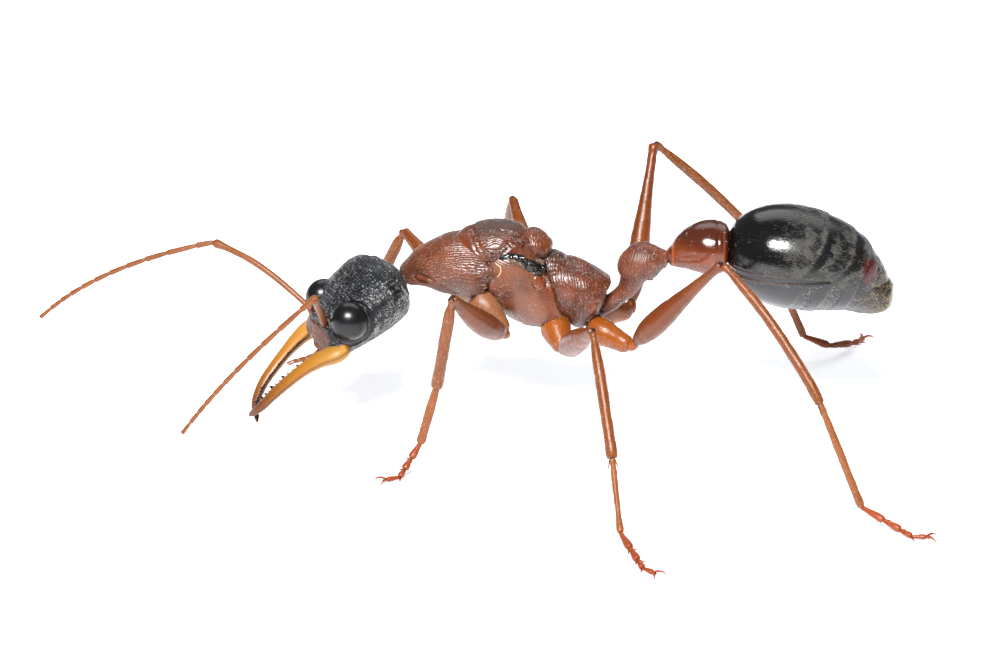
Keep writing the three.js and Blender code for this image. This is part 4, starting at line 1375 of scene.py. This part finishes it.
def spike(bm, root, way, length, width):
    """Adds a thin round thorn that starts a little below its root, in the plain colour of its leg."""
    cone = bmesh.ops.create_cone(
        bm, cap_ends=True, segments=8, radius1=width, radius2=width * 0.15, depth=length,
        matrix=aimed(root + way * (length / 2 - width), way))["verts"]
    layer = bm.loops.layers.uv.verify()
    for corner in (corner for vert in cone for corner in vert.link_loops):
        corner[layer].uv = (0.5, 0.5)


def spurs(bm, pair, knee, ankle):
    """Adds the long thorns that stand at the lower end of a shin."""
    across = across_of(knee, ankle)
    for aside in SPURS[pair]:
        way = ((ankle - knee).normalized() + across * aside * 0.35 - Vector((0, 0, 0.25))).normalized()
        spike(bm, ankle + across * aside * 0.1 - Vector((0, 0, 0.06)), way, SPUR_LONG, SPUR_HALF)


def foot(bm, joints):
    """Adds short joints along some points, with their thorns, two claws and the pad between them."""
    toe = joints[-1]
    way = (toe - joints[-2]).normalized()
    bend = across_of(joints[-2], toe)
    foot_skins = short_joints(bm, joints, FOOT_RADII, 20, 20, FAN)
    for one, other in zip(joints, joints[1:-1]):
        for aside in (-1, 1):
            thorn = ((other - one).normalized() + bend * aside * 0.9 - Vector((0, 0, 0.12))).normalized()
            thorn.z = max(thorn.z, -0.15)
            spike(bm, other + bend * aside * 0.06 - Vector((0, 0, 0.02)), thorn, THORN_LONG, THORN_HALF)
    for spread in (-CLAW_SPREAD, CLAW_SPREAD):
        stations = [(*toe + way * onward + bend * spread * aside + Vector((0, 0, lift)), half, half)
                    for onward, aside, lift, half in CLAW]
        roll(bm, Skin(stations, across=bend, first=0.02, last=0.02), 12, 14)
    ball(bm, toe + way * 0.08 - Vector((0, 0, 0.01)), (0.06, 0.06, 0.05), turns=12)
    return foot_skins


# %% Leg pieces
LEG_DRESS = {
    # material, slot, and the sides and rings of the grid
    "coxa": (COXA_ORANGE, "coxa_shell", (48, 40)), "trochanter": (RING_AMBER, "coxa_shell", (36, 24)),
    "femur": (THIGH_BROWN, "leg_shell", (44, 90)), "tibia": (SHIN_BROWN, "leg_shell", (30, 90)),
    "basitarsus": (FOOT_BROWN, "leg_shell", (24, 50)),
}
leg_skins = {}
for pair, side in ((pair, side) for pair in LEG_LENGTHS for side in MIRROR):
    leg = f"leg_{pair}_{side}"
    leg_skins[leg] = leg_parts(pair, side)
    root, hip, knee, ankle, heel, sole, toe = leg_line(pair, side)
    for part, (material, slot, grid) in LEG_DRESS.items():
        mesh = roll(bmesh.new(), leg_skins[leg][part], *grid)
        carve(mesh, lambda p, around, along: 0.015 * noise.noise(p * 3) + 0.006 * noise.noise(p * 9))
        if part == "tibia":
            spurs(mesh, pair, knee, ankle)
        if (pair, part) == ("front", "coxa"):
            material = COXA_PALE
        piece(f"{leg}_{part}_shell", mesh, material, slot, f"{leg}_{part}")
    joints = [heel.lerp(sole, share) for share in FOOT_SHARES] + [toe]
    if (pair, side) == ("hind", "right"):
        joints = [heel, *CURLED_FOOT]
    mesh = bmesh.new()
    leg_skins[leg]["tarsus"] = foot(mesh, joints)
    piece(f"{leg}_foot", mesh, FOOT_RED, "leg_shell", f"{leg}_tarsus")
print("legs:", tally("leg_"), "triangles")

# %% [markdown]
# ## Hairs
# An ant's hairs are stiff tapering bristles of the same horn as its shell. A hair leaves the skin at an
# angle and then leans towards the tip or the rear, as if combed. Down lies almost flat. The chance of a
# hair at a place can be any rule, so patches and bare bands are possible.

# %% Sowing hairs
STRAY = 0.3
ANGLE_SPREAD = 5


def anywhere(p, around, along):
    return 1


def sow(skins, seed, count, length, half, lift, lean_to, chance=anywhere, sink=0.01):
    """Draws count hairs over some skins, as rows of (number of the skin, around, along, root, start way,
    end way, length, half width). lift and lean_to are the angles that a hair starts and ends with."""
    draw = random.Random(seed)
    beds = list(enumerate(skins))
    weights = [skin.length * max(row[3] for row in skin.rows) for skin in skins]
    hairs = []
    tries = 0
    while len(hairs) < count and tries < count * 40:
        tries += 1
        sheet, skin = draw.choices(beds, weights)[0]
        around, along = draw.random(), draw.uniform(0.01, 0.99)
        if draw.random() > chance(skin.at(around, along), around, along):
            continue
        point, out, onward = skin.lie(around, along)
        way = (onward + out.cross(onward) * draw.gauss(0, STRAY)).normalized()
        tilt, rest = (math.radians(draw.gauss(angle, ANGLE_SPREAD)) for angle in (lift, lean_to))
        start = out * math.sin(tilt) + way * math.cos(tilt)
        end = out * math.sin(rest) + way * math.cos(rest)
        long = length * draw.uniform(0.7, 1.2)
        hairs.append((sheet, around, along, point - out * sink, start, end, long, half))
    return hairs


# %% [markdown]
# The hairs are far too many to place by hand, so one bristle is made with operators, copied over and
# over, and each copy is bent and laid along the skin at its root. Every hair keeps its root's place on
# its own skin as a small patch of the UV map OFBake.

# %% Bristles
PATCH_WIDE = 0.003


def one_bristle(bm):
    """A three-sided spike one unit high, cut into two lengths so that it can bend."""
    bmesh.ops.create_cone(bm, cap_ends=True, segments=3, radius1=1, radius2=0.3, depth=1,
                          matrix=Matrix.Translation((0, 0, 0.5)))
    long_edges = [edge for edge in bm.edges if abs(edge.verts[0].co.z - edge.verts[1].co.z) > 0.5]
    bmesh.ops.subdivide_edges(bm, edges=long_edges, cuts=1)
    bmesh.ops.triangulate(bm, faces=bm.faces)


def copies(bm, count):
    """Copies all that a bmesh holds, doubling it as often as it can. Gives one copy's numbers of parts."""
    sizes = len(bm.verts), len(bm.edges), len(bm.faces)
    done = 1
    while done < count:
        more = min(done, count - done)
        parts = [list(group)[:size * more] for group, size in zip((bm.verts, bm.edges, bm.faces), sizes)]
        bmesh.ops.duplicate(bm, geom=[item for part in parts for item in part])
        done += more
    bm.verts.ensure_lookup_table()
    bm.verts.index_update()
    return sizes


def coat(name, material, slot, skins, *facts, frame=Matrix.Identity(4)):
    """One piece of hair over some skins. facts are the seed and the rest of what sow asks for."""
    hairs = sow(skins, *facts)
    bm = bmesh.new()
    uv = bm.loops.layers.uv.new("OFBake")
    one_bristle(bm)
    size = copies(bm, len(hairs))[0]
    bristle = [vert.co.copy() for vert in bm.verts[:size]]
    columns = math.ceil(math.sqrt(len(skins)))
    patches = []
    for i, (sheet, around, along, root, start, end, length, half) in enumerate(hairs):
        side = start.cross(end)
        side = (side if side.length > 0.01 else start.orthogonal()).normalized()
        up = side.cross(start).normalized()
        for j, spot in enumerate(bristle):
            taper = 1 - 0.85 * spot.z
            place = root + (start * (1 - spot.z / 2) + end * (spot.z / 2)) * length * spot.z
            bm.verts[i * size + j].co = place + (side * spot.x + up * spot.y) * half * taper
        patches.append(((sheet % columns + 0.01 + 0.97 * around) / columns,
                        (sheet // columns + 0.01 + 0.97 * along) / columns))
    for corner in (corner for face in bm.faces for corner in face.loops):
        i, j = divmod(corner.vert.index, size)
        across, up = patches[i]
        corner[uv].uv = (across + PATCH_WIDE * 0.4 * bristle[j].x, up + PATCH_WIDE * bristle[j].z)
    piece(name, bm, material, slot, frame=frame)


# %% Hair materials
def hair_paint(name, dark, light):
    paint = Paint(name, Roughness=0.35)
    return paint.finish(Base_Color=paint.mix(paint.noise(5), shade(*dark), shade(*light)))


SILVER = hair_paint("hair_silver", (150, 148, 144), (220, 218, 212))
GOLD = hair_paint("hair_gold", (120, 92, 54), (190, 168, 120))
STRAW = hair_paint("hair_straw", (122, 78, 44), (206, 164, 116))
DUST = hair_paint("hair_dust", (62, 60, 58), (112, 109, 102))


def patchy(p, scale=2.2):
    return climb(noise.noise(p * scale), -0.15, 0.3)


# %% Coat of the head
def on_cheek(p, around, along):
    if eye_reach(p) < 1.2:
        return 0
    return 0.04 + 0.96 * climb(0.2 - p.z, 0, 0.5) * (0.3 + 0.7 * patchy(p))


lip_skin = Skin([(0, -1.55, -0.3, 0.9, 0.2), (0, -1.72, -0.34, 0.8, 0.22)], first=0.1, last=0.1)
coat("hair_head_down", SILVER, "head_shell", [head_skin],
     1, 6400, 0.1, 0.005, 18, -4, on_cheek, -0.005, frame=HEAD)
coat("hair_head_erect", STRAW, "head_shell", [head_skin],
     2, 40, 0.2, 0.007, 60, 35, lambda p, around, along: eye_reach(p) > 1.2, frame=HEAD)
coat("hair_jaws", STRAW, "jaw", list(jaw_skins.values()),
     3, 260, 0.1, 0.005, 25, 5, lambda p, around, along: 1 if along < 0.4 else 0.3, frame=HEAD)
coat("hair_mouth", GOLD, "jaw", [lip_skin], 4, 130, 0.5, 0.01, 15, 0, frame=HEAD)

# %% Coat of the trunk and the waist
def on_trunk(p, around, along):
    top = climb(abs(around - 0.5), 0.16, 0.08)
    low = climb(-p.z, -5.2, -4.6)
    return 0.25 + 0.55 * max(top, low) * (0.5 + 0.5 * patchy(p))


trunk_skins = [skins[node] for node in TRUNK]
coat("hair_trunk_down", SILVER, "trunk_shell", trunk_skins, 5, 8000, 0.09, 0.005, 18, 0, on_trunk)
coat("hair_trunk_erect", STRAW, "trunk_shell", trunk_skins,
     6, 220, 0.18, 0.006, 60, 35, lambda p, around, along: abs(around - 0.5) < 0.25)
coat("hair_waist", SILVER, "waist_shell", [skins[node] for node in WAIST],
     7, 900, 0.12, 0.007, 25, 5, lambda p, around, along: 1 if p.y < 6 else 0.25)

# %% Coat of the gaster
def on_plate(i):
    """The rule for a plate of the gaster: none past its rear edge, and few on the part that the plate
    before it covers."""
    def chance(p, around, along):
        if plate_edge(p, i) < 0.05:
            return 0
        if (left_side(p) - RED_PATCH).length < 0.5:
            return 0.03
        if i == 0:
            low = climb(7.1 - p.z, 0, 0.5) * climb(p.y, 8.9, 9.6)
            bare_front = climb(p.y - 9.6, 0, 1.5)
        else:
            low = 0
            bare_front = climb(-plate_edge(p, i - 1), 0.16, 0.3)
        thin_top = 1 - 0.6 * climb(p.z, 7.6, 8.1)
        return (0.008 + 0.99 * max(bare_front * thin_top, low)) * (0.15 + 0.85 * patchy(p, 3))
    return chance


for i, count in enumerate((7600, 2800, 1900, 260)):
    coat(f"hair_gaster_{i + 1}", DUST, "gaster_shell", [skins[f"gaster_{i + 1}"]],
         10 + i, count, 0.14, 0.006, 14, 0, on_plate(i), 0.005 - PLATES[i]["height"])
coat("hair_gaster_belly", SILVER, "gaster_shell", [gaster_skin],
     20, 4000, 0.13, 0.006, 14, 0, lambda p, around, along: climb(6.3 - p.z, 0, 0.2))
coat("hair_gaster_tip", GOLD, "gaster_shell", [skins["gaster_5"]],
     21, 1100, 0.2, 0.007, 25, 8, lambda p, around, along: 0.15 + 0.85 * climb(p.y - p.z, 7.9, 8.9))

# %% Coat of the legs and the feelers
LEG_HAIRS = {
    # seed, hairs, length, half width, lift and lean
    "coxa": (290, 1560, 0.1, 0.005, 25, 5), "femur": (490, 2760, 0.09, 0.005, 26, 8),
    "tibia": (730, 4200, 0.13, 0.006, 36, 20), "basitarsus": (370, 2040, 0.13, 0.007, 36, 20),
}
for part, facts in LEG_HAIRS.items():
    coat(f"hair_{part}s", SILVER if part == "coxa" else STRAW, "leg_shell",
         [parts[part] for parts in leg_skins.values()], *facts)
coat("hair_feet", STRAW, "leg_shell", [skin for parts in leg_skins.values() for skin in parts["tarsus"]],
     40, 1500, 0.11, 0.007, 38, 22, lambda p, around, along: p.z > 0.18)
coat("hair_scapes", STRAW, "feeler_shell", [scape for scape, whip in feeler_skins],
     41, 900, 0.06, 0.004, 28, 12)
coat("hair_whips", STRAW, "feeler_shell", [skin for scape, whip in feeler_skins for skin in whip],
     42, 2400, 0.055, 0.004, 28, 12)
print("coat:", tally("hair_"), "triangles in", sum(name.startswith("hair_") for name in made), "pieces")

# %% [markdown]
# ## Floor and light
# The ant stands on a plain white table that glows a little, like a light box, so that shadows are faint
# and the ant's underside is lit as well. One small soft box is the key light, high on the camera's side.
# A large one behind edges the back with light, and a pale room fills the rest.

# %% Floor
chalk = Paint("white_table", Roughness=0.6, Emission_Color=(0.94, 0.97, 1, 1), Emission_Strength=0.6)
TABLE_WHITE = chalk.finish(Base_Color=chalk.mix(chalk.noise(0.2), shade(236, 238, 241), shade(240, 242, 245)))
bm = bmesh.new()
bmesh.ops.create_grid(bm, x_segments=8, y_segments=8, size=1.2)
floor_mesh = bpy.data.meshes.new("table_top")
bm.to_mesh(floor_mesh)
bm.free()
floor_mesh.materials.append(TABLE_WHITE)
table_top = bpy.data.objects.new("table_top", floor_mesh)
bpy.context.scene.collection.objects.link(table_top)


# %% Lights
def soft_box(name, turned, rise, distance, size, power, colour=(1, 1, 1)):
    light = bpy.data.lights.new(name, "AREA")
    light.shape, light.energy, light.color = "RECTANGLE", power, colour
    light.size, light.size_y = size
    obj = bpy.data.objects.new(name, light)
    way = outward(turned, rise)
    obj.location = way * distance
    obj.rotation_mode = "QUATERNION"
    obj.rotation_quaternion = way.to_track_quat("Z", "Y")
    bpy.context.scene.collection.objects.link(obj)


soft_box("key_box", CAMERA_TURN - 12, 50, 0.3, (0.11, 0.055), 2.4)
soft_box("back_box", CAMERA_TURN + 170, 50, 0.5, (0.5, 0.3), 1.0)
world = bpy.data.worlds.new("room")
world.use_nodes = True
world.node_tree.nodes["Background"].inputs["Color"].default_value = (0.86, 0.92, 1, 1)
world.node_tree.nodes["Background"].inputs["Strength"].default_value = 0.18
bpy.context.scene.world = world
bpy.context.scene.view_settings.view_transform = "Standard"

# %% [markdown]
# ## The end
# The script ends by counting the pieces and their triangles.

# %% Counts and the end
print("pieces:", len(made), "triangles:", sum(made.values()))
